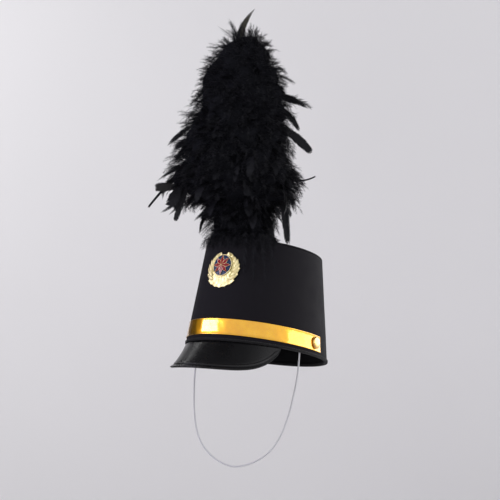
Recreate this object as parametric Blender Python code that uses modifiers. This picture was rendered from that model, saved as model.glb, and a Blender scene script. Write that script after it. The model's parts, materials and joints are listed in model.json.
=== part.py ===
"""Shako hat: a cloth crown with a patent peak, a gilt band and buttons, an enamelled badge, a feather
plume and an elastic chin strap.

Metres, +Z up. The origin is the middle of the crown's lower edge. The wearer faces -Y, and the wearer's
left is +X. Angles round the crown are counted from the front towards the wearer's left.
"""

import math
import random

import bmesh
import bpy
from mathutils import Matrix, Vector

# Clearance between pieces that touch on the real hat
GAP = 0.0003

# Crown: an oval cone of cloth over board that leans a little forward
RIM_HALF_WIDTH = 0.0891
RIM_HALF_DEPTH = 0.1039
TOP_HALF_WIDTH = 0.0745
TOP_HALF_DEPTH = 0.0847
TOP_FORWARD = 0.0090
CROWN_HEIGHT = 0.1356
CLOTH = 0.0025
TOP_EDGE_ROUND = 0.0008
CROWN_STEPS = 72

# Tape folded round the lower edge of the crown
TAPE = 0.0007
TAPE_HEIGHT = 0.0036
WALL_FOOT = TAPE + 3 * GAP

# Peak
PEAK_SHEET = 0.0016
PEAK_SPREAD = math.radians(58.0)
PEAK_LENGTH = 0.0511
PEAK_TAPER = 0.711
PEAK_SLOPE_FRONT = math.radians(49.8)
PEAK_SLOPE_GAIN = math.radians(43.5)
PEAK_BORDER = 0.0045
PEAK_BORDER_FLARE = math.radians(20.0)
PEAK_BORDER_SHARE = 0.35
PEAK_START = -0.0010
PEAK_FLANGE = 0.0120
PEAK_INSET = CLOTH + TAPE + 3 * GAP
PEAK_END = 0.995
PEAK_STEPS = 32
PEAK_ROWS = 4

# Gilt band, which lies a little lower at its ends, and its buttons
BAND_SHEET = 0.0008
BAND_FOOT = 0.0080
BAND_HEAD = 0.0289
BAND_DIP = 0.0013
BAND_SPREAD = math.radians(100.0)
BAND_STEPS = 40
BUTTON_ANGLE = math.radians(91.8)
BUTTON_RADIUS = 0.0080
BUTTON_EDGE = 0.0012
BUTTON_HEIGHT = 0.0032
BUTTON_STEPS = 24

# Badge, curved a little less than the crown behind it
BADGE_HEIGHT = 0.0980
BADGE_BEND = 0.090
BADGE_CUTS = 6
WREATH_SHEET = 0.0013
DISC_RADIUS = 0.0143
DISC_SHEET = 0.0008
DISC_STEPS = 32
ROSETTE_PETALS = 8
ROSETTE_TIP = 0.0132
ROSETTE_NOTCH = 0.0072
ROSETTE_EDGE = 0.0004
ROSETTE_HEIGHT = 0.0018

# Outline of one half of the wreath, from the foot up to the open top, measured from the disc's middle
WREATH_HALF = (
    # across, up
    (0.0000, -0.0295),
    (0.0035, -0.0283),
    (0.0080, -0.0280),
    (0.0110, -0.0258),
    (0.0155, -0.0245),
    (0.0205, -0.0195),
    (0.0183, -0.0172),
    (0.0240, -0.0112),
    (0.0222, -0.0082),
    (0.0253, -0.0030),
    (0.0226, -0.0004),
    (0.0218, 0.0060),
    (0.0178, 0.0060),
    (0.0164, 0.0116),
    (0.0132, 0.0118),
    (0.0106, 0.0162),
    (0.0058, 0.0182),
    (0.0040, 0.0150),
)

# Chin strap: half of the loop, from inside the crown down to the chin
STRAP_DIAMETER = 0.0022
STRAP_FORWARD = 0.0220
STRAP_POINTS = 68
STRAP_HALF = (
    # across, height
    (0.0812, 0.0110),
    (0.0815, 0.0040),
    (0.0818, -0.0040),
    (0.0822, -0.0130),
    (0.0824, -0.0250),
    (0.0816, -0.0400),
    (0.0798, -0.0550),
    (0.0772, -0.0720),
    (0.0731, -0.0890),
    (0.0668, -0.1070),
    (0.0560, -0.1240),
    (0.0405, -0.1370),
    (0.0210, -0.1460),
    (0.0000, -0.1500),
)
TAB_HEIGHT = 0.0120
TAB_WIDTH = 0.0110
TAB_DEPTH = 0.0032
TAB_SPAN_STEPS = 4

# Stem that carries the plume
STEM_FORWARD = 0.0600
STEM_RADIUS = 0.0030
STEM_ABOVE = 0.0400
STEM_BELOW = 0.0100
COLLAR_RADIUS = 0.0120
COLLAR_SHEET = 0.0015
STEM_STEPS = 16

# Plume: the core's middle and radius at each height, and the locks that leave it there
PLUME_STEPS = 14
PLUME_SECTIONS = (
    # height, forward, core radius, lock length, lift of a lock at its root, at its tip (degrees)
    (0.1385, 0.0600, 0.040, 0.026, 20, 0),
    (0.1560, 0.0630, 0.041, 0.036, 25, -35),
    (0.1740, 0.0690, 0.047, 0.050, 30, -65),
    (0.1920, 0.0770, 0.057, 0.060, 25, -72),
    (0.2150, 0.0830, 0.064, 0.062, 22, -70),
    (0.2420, 0.0860, 0.064, 0.058, 22, -66),
    (0.2700, 0.0870, 0.061, 0.056, 25, -60),
    (0.2970, 0.0890, 0.055, 0.054, 30, -52),
    (0.3230, 0.0920, 0.049, 0.050, 35, -42),
    (0.3500, 0.0950, 0.043, 0.047, 45, -24),
    (0.3760, 0.0980, 0.034, 0.044, 58, 4),
    (0.3980, 0.1000, 0.022, 0.040, 70, 35),
    (0.4150, 0.1010, 0.008, 0.034, 80, 60),
)
LOCKS = 96
LOCK_FIRST = 0.148
LOCK_LAST = 0.412
LOCK_HALF_WIDTH = 0.0125
LOCK_HALF_THICKNESS = 0.0034
LOCK_TWIST = math.radians(35.0)
LOCK_ROOT = 0.78
LOCK_SPREAD = 0.20
LOCK_SEED = 11
GOLDEN_ANGLE = math.pi * (3.0 - math.sqrt(5.0))
LOCK_SECTIONS = (
    # along, share of the full width
    (0.00, 0.55),
    (0.35, 1.00),
    (0.72, 0.75),
    (1.00, 0.07),
)


def material(name, colour, roughness, metallic=0.0):
    look = bpy.data.materials.new(name)
    look.use_nodes = True
    shader = look.node_tree.nodes["Principled BSDF"]
    shader.inputs["Base Color"].default_value = (*colour, 1.0)
    shader.inputs["Roughness"].default_value = roughness
    shader.inputs["Metallic"].default_value = metallic
    return look


def black_cloth(name):
    return material(name, (0.012, 0.012, 0.014), 0.85)


def gilt(name):
    return material(name, (0.80, 0.50, 0.12), 0.25, 1.0)


def crown_point(angle, height, out=0.0):
    """A point on the crown's outer face, or standing out from it by out."""
    up = height / CROWN_HEIGHT
    half_width = RIM_HALF_WIDTH + (TOP_HALF_WIDTH - RIM_HALF_WIDTH) * up
    half_depth = RIM_HALF_DEPTH + (TOP_HALF_DEPTH - RIM_HALF_DEPTH) * up
    sine, cosine = math.sin(angle), math.cos(angle)
    outward = Vector((sine / half_width, -cosine / half_depth, 0.0)).normalized()
    return Vector((half_width * sine, -half_depth * cosine - TOP_FORWARD * up, height)) + outward * out


def outward_at(angle):
    return Vector((math.sin(angle) / RIM_HALF_WIDTH, -math.cos(angle) / RIM_HALF_DEPTH, 0.0)).normalized()


def steps_between(first, last, count):
    return [first + (last - first) * step / count for step in range(count + 1)]


def smooth(mesh, angle=30.0):
    mesh.shade_smooth()
    mesh.set_sharp_from_angle(angle=math.radians(angle))


def new_object(name, bm, look, collection):
    mesh = bpy.data.meshes.new(name)
    bm.to_mesh(mesh)
    bm.free()
    smooth(mesh)
    mesh.materials.append(look)
    piece = bpy.data.objects.new(name, mesh)
    collection.objects.link(piece)
    return piece


def helper(piece):
    """Marks a piece as one that only shapes others."""
    piece.hide_render = True
    piece.display_type = "WIRE"
    return piece


def lay_rows(bm, rows, closed):
    """Faces between rows of points. A row runs towards the wearer's left, and the rows run upwards."""
    laid = [[bm.verts.new(point) for point in row] for row in rows]
    for lower, upper in zip(laid, laid[1:]):
        last = len(lower) if closed else len(lower) - 1
        for here in range(last):
            there = (here + 1) % len(lower)
            bm.faces.new((lower[here], lower[there], upper[there], upper[here]))
    return laid


def sheet(name, rows, thickness, look, collection, closed=False):
    """A sheet whose outer face passes through the rows."""
    bm = bmesh.new()
    lay_rows(bm, rows, closed)
    piece = new_object(name, bm, look, collection)
    wall = piece.modifiers.new("thickness", "SOLIDIFY")
    wall.thickness = thickness
    wall.offset = -1.0
    wall.use_even_offset = True
    return piece


def crown_rows(profile, angles):
    return [[crown_point(angle, height, out) for angle in angles] for out, height in profile]


def all_round():
    return [math.tau * step / CROWN_STEPS for step in range(CROWN_STEPS)]


def cut(piece, tool, operation="DIFFERENCE"):
    boolean = piece.modifiers.new(operation.lower(), "BOOLEAN")
    boolean.operation = operation
    boolean.object = tool
    return boolean


def crown_wall(parts):
    profile = ((0.0, WALL_FOOT), (0.0, CROWN_HEIGHT - CLOTH - GAP))
    rows = crown_rows(profile, all_round())
    return sheet("crown_wall", rows, CLOTH, black_cloth("crown cloth"), parts, closed=True)


def crown_top(parts, tools):
    """The flat top, with a hole for the plume's stem."""
    profile = (
        (0.0, CROWN_HEIGHT - CLOTH),
        (0.0, CROWN_HEIGHT - TOP_EDGE_ROUND),
        (-TOP_EDGE_ROUND, CROWN_HEIGHT),
    )
    bm = bmesh.new()
    rows = lay_rows(bm, crown_rows(profile, all_round()), closed=True)
    bm.faces.new(reversed(rows[0]))
    bm.faces.new(rows[-1])
    piece = new_object("crown_top", bm, black_cloth("top cloth"), parts)
    bm = bmesh.new()
    bmesh.ops.create_cone(
        bm,
        cap_ends=True,
        segments=STEM_STEPS,
        radius1=STEM_RADIUS + GAP,
        radius2=STEM_RADIUS + GAP,
        depth=4 * CLOTH,
        matrix=Matrix.Translation((0.0, -STEM_FORWARD, CROWN_HEIGHT)),
    )
    drill = helper(new_object("top_drill", bm, black_cloth("drill"), tools))
    cut(piece, drill)
    return piece


def rim_binding(parts):
    out = GAP + TAPE
    inside = CLOTH + GAP + TAPE
    profile = (
        (-inside, TAPE_HEIGHT),
        (-inside, 0.0),
        (out - TAPE, 0.0),
        (out, TAPE),
        (out, TAPE_HEIGHT),
    )
    rows = crown_rows(profile, all_round())
    return sheet("rim_binding", rows, TAPE, black_cloth("binding tape"), parts, closed=True)


def peak_column(share):
    """Points from the peak's edge up to the top of its flange, at a share of the way to one end."""
    angle = share * PEAK_SPREAD
    length = PEAK_LENGTH * (1.0 - share**2) ** PEAK_TAPER
    border = min(PEAK_BORDER, PEAK_BORDER_SHARE * length)
    slope = PEAK_SLOPE_FRONT + PEAK_SLOPE_GAIN * share**2
    outward = outward_at(angle)
    start = crown_point(angle, 0.0) + Vector((0.0, 0.0, PEAK_START))

    def down(tilt):
        return outward * math.cos(tilt) + Vector((0.0, 0.0, -math.sin(tilt)))

    blade = [start + down(slope) * (length - border) * step / PEAK_ROWS for step in range(PEAK_ROWS + 1)]
    edge = blade[-1] + down(slope - PEAK_BORDER_FLARE) * border
    bend = crown_point(angle, 0.0, -PEAK_INSET) + Vector((0.0, 0.0, -GAP))
    head = crown_point(angle, PEAK_FLANGE, -PEAK_INSET)
    return [edge, *reversed(blade), bend, head]


def peak(parts):
    columns = [peak_column(share) for share in steps_between(-PEAK_END, PEAK_END, PEAK_STEPS)]
    rows = list(zip(*columns))
    return sheet("peak", rows, PEAK_SHEET, material("patent", (0.010, 0.010, 0.012), 0.22), parts)


def band_dip(angle):
    return BAND_DIP * (angle / BAND_SPREAD) ** 2


def front_band(parts):
    angles = steps_between(-BAND_SPREAD, BAND_SPREAD, BAND_STEPS)
    rows = [
        [crown_point(angle, height - band_dip(angle), GAP + BAND_SHEET) for angle in angles]
        for height in (BAND_FOOT, BAND_HEAD)
    ]
    return sheet("front_band", rows, BAND_SHEET, gilt("gilt foil"), parts)


def turned(name, profile, steps, look, collection):
    """A solid turned about Z from a profile of (radius, height) that runs down its outer side."""
    bm = bmesh.new()
    points = [bm.verts.new((radius, 0.0, height)) for radius, height in profile]
    for upper, lower in zip(points, points[1:]):
        bm.edges.new((upper, lower))
    piece = new_object(name, bm, look, collection)
    screw = piece.modifiers.new("turn", "SCREW")
    screw.steps = steps
    screw.render_steps = steps
    screw.use_merge_vertices = True
    screw.merge_threshold = 0.00001
    screw.use_smooth_shade = True
    return piece


def button(name, angle, parts):
    """A domed button whose flat back faces the band."""
    dome = [math.radians(degrees) for degrees in (90.0, 66.0, 42.0, 20.0, 0.0)]
    profile = [
        (BUTTON_RADIUS * math.cos(rise), BUTTON_EDGE + (BUTTON_HEIGHT - BUTTON_EDGE) * math.sin(rise))
        for rise in dome
    ]
    profile[0] = (0.0, BUTTON_HEIGHT)
    profile += [(BUTTON_RADIUS, 0.0), (0.0, 0.0)]
    piece = turned(name, profile, BUTTON_STEPS, gilt(name + " gilt"), parts)
    height = (BAND_FOOT + BAND_HEAD) / 2 - band_dip(angle)
    seat = 2 * GAP + BAND_SHEET
    below, above = crown_point(angle, BAND_FOOT), crown_point(angle, BAND_HEAD)
    along = Vector((math.cos(angle) * RIM_HALF_WIDTH, math.sin(angle) * RIM_HALF_DEPTH, 0.0))
    face = along.cross(above - below).normalized()
    piece.location = crown_point(angle, height, seat)
    piece.rotation_euler = face.to_track_quat("Z", "Y").to_euler()
    return piece


def prism(outline, back, front, apex=None):
    """A plate of the outline (across, up) from back to front, or rising from front to a middle apex."""
    bm = bmesh.new()
    rear = [bm.verts.new((across, -back, up)) for across, up in outline]
    fore = [bm.verts.new((across, -front, up)) for across, up in outline]
    bm.faces.new(reversed(rear))
    for here, corner in enumerate(rear):
        there = (here + 1) % len(rear)
        bm.faces.new((corner, rear[there], fore[there], fore[here]))
    if apex is None:
        bm.faces.new(fore)
    else:
        middle = bm.verts.new((0.0, -apex, 0.0))
        for here, corner in enumerate(fore):
            bm.faces.new((corner, fore[(here + 1) % len(fore)], middle))
    return bm


def badge_piece(name, bm, look, parts):
    """Bends a badge layer to the crown's curve and sets it on the front."""
    half_width = max(vertex.co.x for vertex in bm.verts)
    for step in range(1, 2 * BADGE_CUTS):
        place = Vector((half_width * (step / BADGE_CUTS - 1.0), 0.0, 0.0))
        bmesh.ops.bisect_plane(
            bm, geom=bm.verts[:] + bm.edges[:] + bm.faces[:], dist=1e-7, plane_co=place, plane_no=(1.0, 0.0, 0.0)
        )
    bmesh.ops.triangulate(bm, faces=bm.faces[:])
    bmesh.ops.recalc_face_normals(bm, faces=bm.faces[:])
    for vertex in bm.verts:
        vertex.co.y += vertex.co.x**2 / (2 * BADGE_BEND)
    piece = new_object(name, bm, look, parts)
    below, above = crown_point(0.0, 0.0), crown_point(0.0, CROWN_HEIGHT)
    piece.location = crown_point(0.0, BADGE_HEIGHT, GAP)
    piece.rotation_euler = (-math.atan2(above.y - below.y, CROWN_HEIGHT), 0.0, 0.0)
    return piece


def badge(parts):
    half = list(WREATH_HALF)
    outline = half + [(-across, up) for across, up in reversed(half[1:])]
    front = WREATH_SHEET
    badge_piece("badge_wreath", prism(outline, 0.0, front), material("pale gilt", (0.85, 0.72, 0.35), 0.3, 1.0), parts)

    turns = [math.tau * step / DISC_STEPS for step in range(DISC_STEPS)]
    outline = [(DISC_RADIUS * math.cos(turn), DISC_RADIUS * math.sin(turn)) for turn in turns]
    back, front = front + GAP, front + GAP + DISC_SHEET
    badge_piece("badge_disc", prism(outline, back, front), material("blue enamel", (0.02, 0.06, 0.22), 0.2), parts)

    outline = []
    for corner in range(2 * ROSETTE_PETALS):
        turn = math.pi * corner / ROSETTE_PETALS + math.pi / 2
        radius = ROSETTE_NOTCH if corner % 2 else ROSETTE_TIP
        outline.append((radius * math.cos(turn), radius * math.sin(turn)))
    back, front = front + GAP, front + GAP + ROSETTE_EDGE
    rosette = prism(outline, back, front, apex=front + ROSETTE_HEIGHT)
    badge_piece("badge_rosette", rosette, material("red enamel", (0.45, 0.02, 0.02), 0.2), parts)


def even_points(route, count):
    """Points spaced evenly along a smooth curve through the route."""
    fine = []
    ends = [route[0] * 2 - route[1], *route, route[-1] * 2 - route[-2]]
    for before, start, stop, after in zip(ends, ends[1:], ends[2:], ends[3:]):
        for step in range(20):
            t = step / 20
            fine.append(
                0.5
                * (
                    2 * start
                    + (stop - before) * t
                    + (2 * before - 5 * start + 4 * stop - after) * t**2
                    + (3 * start - before - 3 * stop + after) * t**3
                )
            )
    fine.append(route[-1])
    reached = [0.0]
    for here, there in zip(fine, fine[1:]):
        reached.append(reached[-1] + (there - here).length)
    points = []
    place = 0
    for step in range(count):
        wanted = reached[-1] * step / (count - 1)
        while place < len(fine) - 2 and reached[place + 1] < wanted:
            place += 1
        share = (wanted - reached[place]) / (reached[place + 1] - reached[place])
        points.append(fine[place].lerp(fine[place + 1], share))
    return points


def strap_route():
    left = [Vector((across, -STRAP_FORWARD, height)) for across, height in STRAP_HALF]
    right = [Vector((-point.x, point.y, point.z)) for point in left[-2::-1]]
    return left + right


def chin_strap(parts):
    points = even_points(strap_route(), STRAP_POINTS)
    curve = bpy.data.curves.new("chin_strap", "CURVE")
    curve.dimensions = "3D"
    curve.bevel_depth = STRAP_DIAMETER / 2
    curve.bevel_resolution = 2
    curve.use_fill_caps = True
    spline = curve.splines.new("POLY")
    spline.points.add(len(points) - 1)
    for place, point in zip(spline.points, points):
        place.co = (*point, 1.0)
    curve.materials.append(material("clear elastic", (0.75, 0.75, 0.76), 0.35))
    piece = bpy.data.objects.new("chin_strap", curve)
    parts.objects.link(piece)
    return piece


def strap_tab(name, side, parts):
    """A folded tab sewn inside the wall, just above the end of the elastic."""
    foot = STRAP_HALF[0][1] + GAP
    middle = side * math.acos(STRAP_FORWARD / RIM_HALF_DEPTH)
    spread = TAB_WIDTH / 2 / RIM_HALF_DEPTH
    angles = steps_between(middle - spread, middle + spread, TAB_SPAN_STEPS)
    out = -(CLOTH + 2 * GAP)
    rows = crown_rows(((out, foot), (out, foot + TAB_HEIGHT)), angles)
    return sheet(name, rows, TAB_DEPTH, black_cloth(name + " cloth"), parts)


def plume_stem(parts):
    collar_foot = GAP
    collar_head = collar_foot + COLLAR_SHEET
    profile = (
        (0.0, STEM_ABOVE),
        (STEM_RADIUS, STEM_ABOVE),
        (STEM_RADIUS, collar_head),
        (COLLAR_RADIUS, collar_head),
        (COLLAR_RADIUS, collar_foot),
        (STEM_RADIUS, collar_foot),
        (STEM_RADIUS, -STEM_BELOW),
        (0.0, -STEM_BELOW),
    )
    piece = turned("plume_stem", profile, STEM_STEPS, material("black plastic", (0.02, 0.02, 0.02), 0.5), parts)
    piece.location = (0.0, -STEM_FORWARD, CROWN_HEIGHT)
    return piece


def plume_at(height):
    """Forward reach, core radius, lock length and the two lifts of a lock at a height."""
    last = len(PLUME_SECTIONS) - 2
    place = max(row for row in range(last + 1) if row == 0 or PLUME_SECTIONS[row][0] <= height)
    lower, upper = PLUME_SECTIONS[place], PLUME_SECTIONS[place + 1]
    share = (height - lower[0]) / (upper[0] - lower[0])
    return [low + (high - low) * share for low, high in zip(lower[1:], upper[1:])]


def plume_core(name, look, collection):
    bm = bmesh.new()
    rows = []
    for height, forward, radius, *_ in PLUME_SECTIONS:
        turns = [math.tau * step / PLUME_STEPS for step in range(PLUME_STEPS)]
        rows.append(
            [Vector((radius * math.sin(turn), -forward - radius * math.cos(turn), height)) for turn in turns]
        )
    laid = lay_rows(bm, rows, closed=True)
    bm.faces.new(reversed(laid[0]))
    bm.faces.new(laid[-1])
    return new_object(name, bm, look, collection)


def lay_lock(bm, root, outward, length, lift_root, lift_tip, twist):
    """A flat tapering lock that leaves root and bends from one lift to the other."""
    up = Vector((0.0, 0.0, 1.0))
    sideways = outward.cross(up)
    place, along = root.copy(), 0.0
    rings = []
    for share, width in LOCK_SECTIONS:
        lift = lift_root + (lift_tip - lift_root) * share
        heading = outward * math.cos(lift) + up * math.sin(lift)
        place = place + heading * length * (share - along)
        along = share
        turn = Matrix.Rotation(twist, 3, heading)
        wide = turn @ sideways * LOCK_HALF_WIDTH * width
        thick = turn @ sideways.cross(heading) * LOCK_HALF_THICKNESS * width
        rings.append([bm.verts.new(place + offset) for offset in (wide, thick, -wide, -thick)])
    bm.faces.new(rings[0])
    bm.faces.new(reversed(rings[-1]))
    for here, there in zip(rings, rings[1:]):
        for corner in range(4):
            after = (corner + 1) % 4
            bm.faces.new((here[after], here[corner], there[corner], there[after]))


def plume_locks(look, tools):
    """Locks in a spiral up the plume, denser where it is wide."""
    chance = random.Random(LOCK_SEED)
    bm = bmesh.new()
    for number in range(LOCKS):
        height = LOCK_FIRST + (LOCK_LAST - LOCK_FIRST) * (number + 0.5) / LOCKS
        forward, radius, length, lift_root, lift_tip = plume_at(height)
        turn = number * GOLDEN_ANGLE
        outward = Vector((math.sin(turn), -math.cos(turn), 0.0))
        root = Vector((0.0, -forward, height)) + outward * radius * LOCK_ROOT
        length *= 1.0 + chance.uniform(-LOCK_SPREAD, LOCK_SPREAD)
        twist = chance.uniform(-LOCK_TWIST, LOCK_TWIST)
        lay_lock(bm, root, outward, length, math.radians(lift_root), math.radians(lift_tip), twist)
    bmesh.ops.recalc_face_normals(bm, faces=bm.faces[:])
    return helper(new_object("plume_locks", bm, look, tools))


def plume(parts, tools):
    """Locks fused to a core, with a bore for the stem."""
    look = material("black feather", (0.010, 0.010, 0.012), 0.6)
    piece = plume_core("plume", look, parts)
    union = cut(piece, plume_locks(look, tools), "UNION")
    union.use_self = True
    bore_depth = STEM_ABOVE + GAP
    bm = bmesh.new()
    bmesh.ops.create_cone(
        bm,
        cap_ends=True,
        segments=STEM_STEPS,
        radius1=STEM_RADIUS + GAP,
        radius2=STEM_RADIUS + GAP,
        depth=2 * bore_depth,
        matrix=Matrix.Translation((0.0, -STEM_FORWARD, CROWN_HEIGHT)),
    )
    drill = helper(new_object("plume_drill", bm, look, tools))
    cut(piece, drill)
    return piece


def main():
    for old in list(bpy.data.objects):
        bpy.data.objects.remove(old, do_unlink=True)
    parts = bpy.data.collections.new("shako")
    tools = bpy.data.collections.new("shako_tools")
    bpy.context.scene.collection.children.link(parts)
    bpy.context.scene.collection.children.link(tools)

    crown_wall(parts)
    crown_top(parts, tools)
    rim_binding(parts)
    peak(parts)
    front_band(parts)
    button("button_left", BUTTON_ANGLE, parts)
    button("button_right", -BUTTON_ANGLE, parts)
    badge(parts)
    chin_strap(parts)
    strap_tab("strap_tab_left", 1, parts)
    strap_tab("strap_tab_right", -1, parts)
    plume_stem(parts)
    plume(parts, tools)


main()
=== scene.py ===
import json
import math

import bmesh
import bpy
import numpy as np
from mathutils import Matrix, Vector

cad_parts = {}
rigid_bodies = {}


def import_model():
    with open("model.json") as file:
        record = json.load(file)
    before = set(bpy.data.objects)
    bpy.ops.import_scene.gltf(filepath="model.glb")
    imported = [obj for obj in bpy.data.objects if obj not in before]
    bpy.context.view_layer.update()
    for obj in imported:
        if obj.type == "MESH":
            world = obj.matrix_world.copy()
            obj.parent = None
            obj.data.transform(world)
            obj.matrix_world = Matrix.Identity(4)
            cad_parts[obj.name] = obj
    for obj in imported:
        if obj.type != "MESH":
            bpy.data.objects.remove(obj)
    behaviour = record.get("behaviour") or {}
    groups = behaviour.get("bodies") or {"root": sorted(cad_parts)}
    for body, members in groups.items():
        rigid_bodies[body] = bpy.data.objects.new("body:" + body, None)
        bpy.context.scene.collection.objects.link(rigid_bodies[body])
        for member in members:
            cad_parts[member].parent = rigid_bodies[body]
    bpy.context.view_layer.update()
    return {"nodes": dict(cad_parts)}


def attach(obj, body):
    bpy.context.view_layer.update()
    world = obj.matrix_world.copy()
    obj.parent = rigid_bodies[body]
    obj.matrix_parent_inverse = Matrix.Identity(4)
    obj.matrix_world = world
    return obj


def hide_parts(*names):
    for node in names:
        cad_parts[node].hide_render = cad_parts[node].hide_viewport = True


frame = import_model()

# Shako hat. Metres, +Z up. The origin is the middle of the crown's lower edge, the wearer faces -Y and
# the wearer's left is +X. Angles round the crown are counted from the front towards the wearer's left.

# Sizes that the solids have too
GAP = 0.0003
RIM_HALF_WIDTH, RIM_HALF_DEPTH = 0.0891, 0.1039
TOP_HALF_WIDTH, TOP_HALF_DEPTH = 0.0745, 0.0847
TOP_FORWARD = 0.0090
CROWN_HEIGHT = 0.1356
CLOTH = 0.0025
TAPE, TAPE_HEIGHT = 0.0007, 0.0036
WALL_FOOT = TAPE + 3 * GAP
PEAK_SHEET = 0.0016
PEAK_SPREAD = math.radians(58.0)
PEAK_LENGTH, PEAK_TAPER = 0.0511, 0.711
PEAK_SLOPE_FRONT, PEAK_SLOPE_GAIN = math.radians(49.8), math.radians(43.5)
PEAK_BORDER, PEAK_BORDER_FLARE, PEAK_BORDER_SHARE = 0.0045, math.radians(20.0), 0.35
PEAK_START, PEAK_FLANGE = -0.0010, 0.0120
PEAK_INSET = CLOTH + TAPE + 3 * GAP
PEAK_END = 0.995
BAND_SHEET, BAND_FOOT, BAND_HEAD, BAND_DIP = 0.0008, 0.0080, 0.0289, 0.0013
BAND_SPREAD = math.radians(100.0)
BUTTON_ANGLE = math.radians(91.8)
BUTTON_RADIUS, BUTTON_EDGE, BUTTON_HEIGHT = 0.0080, 0.0012, 0.0032
BADGE_HEIGHT, BADGE_BEND = 0.0980, 0.090
WREATH_SHEET = 0.0013
DISC_RADIUS, DISC_SHEET = 0.0143, 0.0008
STEM_FORWARD, STEM_RADIUS = 0.0600, 0.0030
STRAP_DIAMETER, STRAP_FORWARD, STRAP_POINTS = 0.0022, 0.0220, 68
STRAP_HALF = (
    # across, height
    (0.0812, 0.0110),
    (0.0815, 0.0040),
    (0.0818, -0.0040),
    (0.0822, -0.0130),
    (0.0824, -0.0250),
    (0.0816, -0.0400),
    (0.0798, -0.0550),
    (0.0772, -0.0720),
    (0.0731, -0.0890),
    (0.0668, -0.1070),
    (0.0560, -0.1240),
    (0.0405, -0.1370),
    (0.0210, -0.1460),
    (0.0000, -0.1500),
)
TAB_HEIGHT, TAB_WIDTH, TAB_DEPTH = 0.0120, 0.0110, 0.0032

# Camera: its place, its angles in degrees, its lens and sensor in millimetres
CAMERA_PLACE = (0.9211, -1.2939, -0.1952)
CAMERA_AZIMUTH, CAMERA_ELEVATION, CAMERA_ROLL = 36.3718, -11.8828, 6.9342
CAMERA_LENS, CAMERA_SENSOR = 86.53, 36.0
CAMERA_NEAR, CAMERA_FAR = 0.05, 50.0

# Colours, in pairs between which a surface varies
CROWN_BLACK = (0.0054, 0.0048, 0.0068), (0.0162, 0.0146, 0.0194)
LINING_BLACK = (0.002, 0.002, 0.0025), (0.006, 0.006, 0.007)
LINT_GREY = (0.16, 0.16, 0.17)
TAPE_BLACK = (0.003, 0.003, 0.0035), (0.011, 0.011, 0.012)
PATENT_BLACK = (0.004, 0.004, 0.0045), (0.009, 0.009, 0.010)
FOIL_GILT = (0.90, 0.42, 0.006), (0.99, 0.53, 0.012)
BUTTON_GILT = (0.80, 0.46, 0.10), (0.95, 0.66, 0.22)
PALE_GILT = (0.78, 0.65, 0.31), (0.97, 0.88, 0.49)
ENAMEL_BLUE = (0.004, 0.012, 0.055), (0.012, 0.040, 0.14)
ENAMEL_RED = (0.14, 0.003, 0.005), (0.42, 0.010, 0.012)
ELASTIC_GREY = (0.62, 0.62, 0.65), (0.86, 0.86, 0.88)
PLASTIC_BLACK = (0.012, 0.012, 0.013), (0.026, 0.026, 0.028)
THREAD_BLACK = (0.008, 0.008, 0.009), (0.035, 0.035, 0.038)
FEATHER_BLACK = (0.0125, 0.0127, 0.0158), (0.0190, 0.0190, 0.0228)
FEATHER_BROWN = (0.060, 0.056, 0.045)
DOWN_BLACK = (0.0085, 0.0088, 0.0110), (0.0150, 0.0153, 0.0185)
PAPER_GREY = (0.83, 0.815, 0.825), (0.87, 0.855, 0.865)


# ---------------------------------------------------------------- camera and paths

PATH_STEPS = 20


def camera_ways():
    """The level ways from the hat towards the camera and to the camera's right."""
    azimuth = math.radians(CAMERA_AZIMUTH)
    return (math.sin(azimuth), -math.cos(azimuth), 0.0), (math.cos(azimuth), math.sin(azimuth), 0.0)


def camera():
    """Sets the camera at the photograph's viewing angle."""
    elevation, roll = math.radians(CAMERA_ELEVATION), math.radians(CAMERA_ROLL)
    toward, level = camera_ways()
    flat = math.cos(elevation)
    back, level = Vector((toward[0] * flat, toward[1] * flat, math.sin(elevation))), Vector(level)
    upright = back.cross(level)
    right = level * math.cos(roll) + upright * math.sin(roll)
    up = upright * math.cos(roll) - level * math.sin(roll)
    data = bpy.data.cameras.new("camera")
    data.lens = CAMERA_LENS
    data.sensor_width = CAMERA_SENSOR
    data.clip_start, data.clip_end = CAMERA_NEAR, CAMERA_FAR
    eye = bpy.data.objects.new("camera", data)
    eye.matrix_world = Matrix.Translation(CAMERA_PLACE) @ Matrix((right, up, back)).transposed().to_4x4()
    bpy.context.scene.collection.objects.link(eye)
    bpy.context.scene.camera = eye


def even_points(route, count):
    """Points spaced evenly along a smooth curve through the route."""
    fine = []
    ends = [route[0] * 2 - route[1], *route, route[-1] * 2 - route[-2]]
    for before, start, stop, after in zip(ends, ends[1:], ends[2:], ends[3:]):
        for step in range(PATH_STEPS):
            t = step / PATH_STEPS
            fine.append(
                0.5
                * (
                    2 * start
                    + (stop - before) * t
                    + (2 * before - 5 * start + 4 * stop - after) * t**2
                    + (3 * start - before - 3 * stop + after) * t**3
                )
            )
    fine.append(route[-1])
    fine = np.array([tuple(point) for point in fine])
    reached = np.concatenate([[0.0], np.cumsum(np.linalg.norm(np.diff(fine, axis=0), axis=1))])
    wanted = np.linspace(0.0, reached[-1], count)
    return np.stack([np.interp(wanted, reached, fine[:, axis]) for axis in range(3)], axis=1)


# ---------------------------------------------------------------- nodes and materials

# Places of the Mix node's sockets, whose names are shared
MIX_NUMBERS, MIX_COLOURS, MIX_COLOUR_RESULT = (2, 3), (6, 7), 2
SCRATCH_RUNS = (
    # turn, how finely the noise is cut along each axis
    (0.5, (900.0, 40.0, 900.0)),
    (-0.9, (50.0, 700.0, 700.0)),
)
RIBS_PER_METRE, BRAIDS_PER_METRE, BRAIDS_ROUND = 1500.0, 900.0, 4


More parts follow.
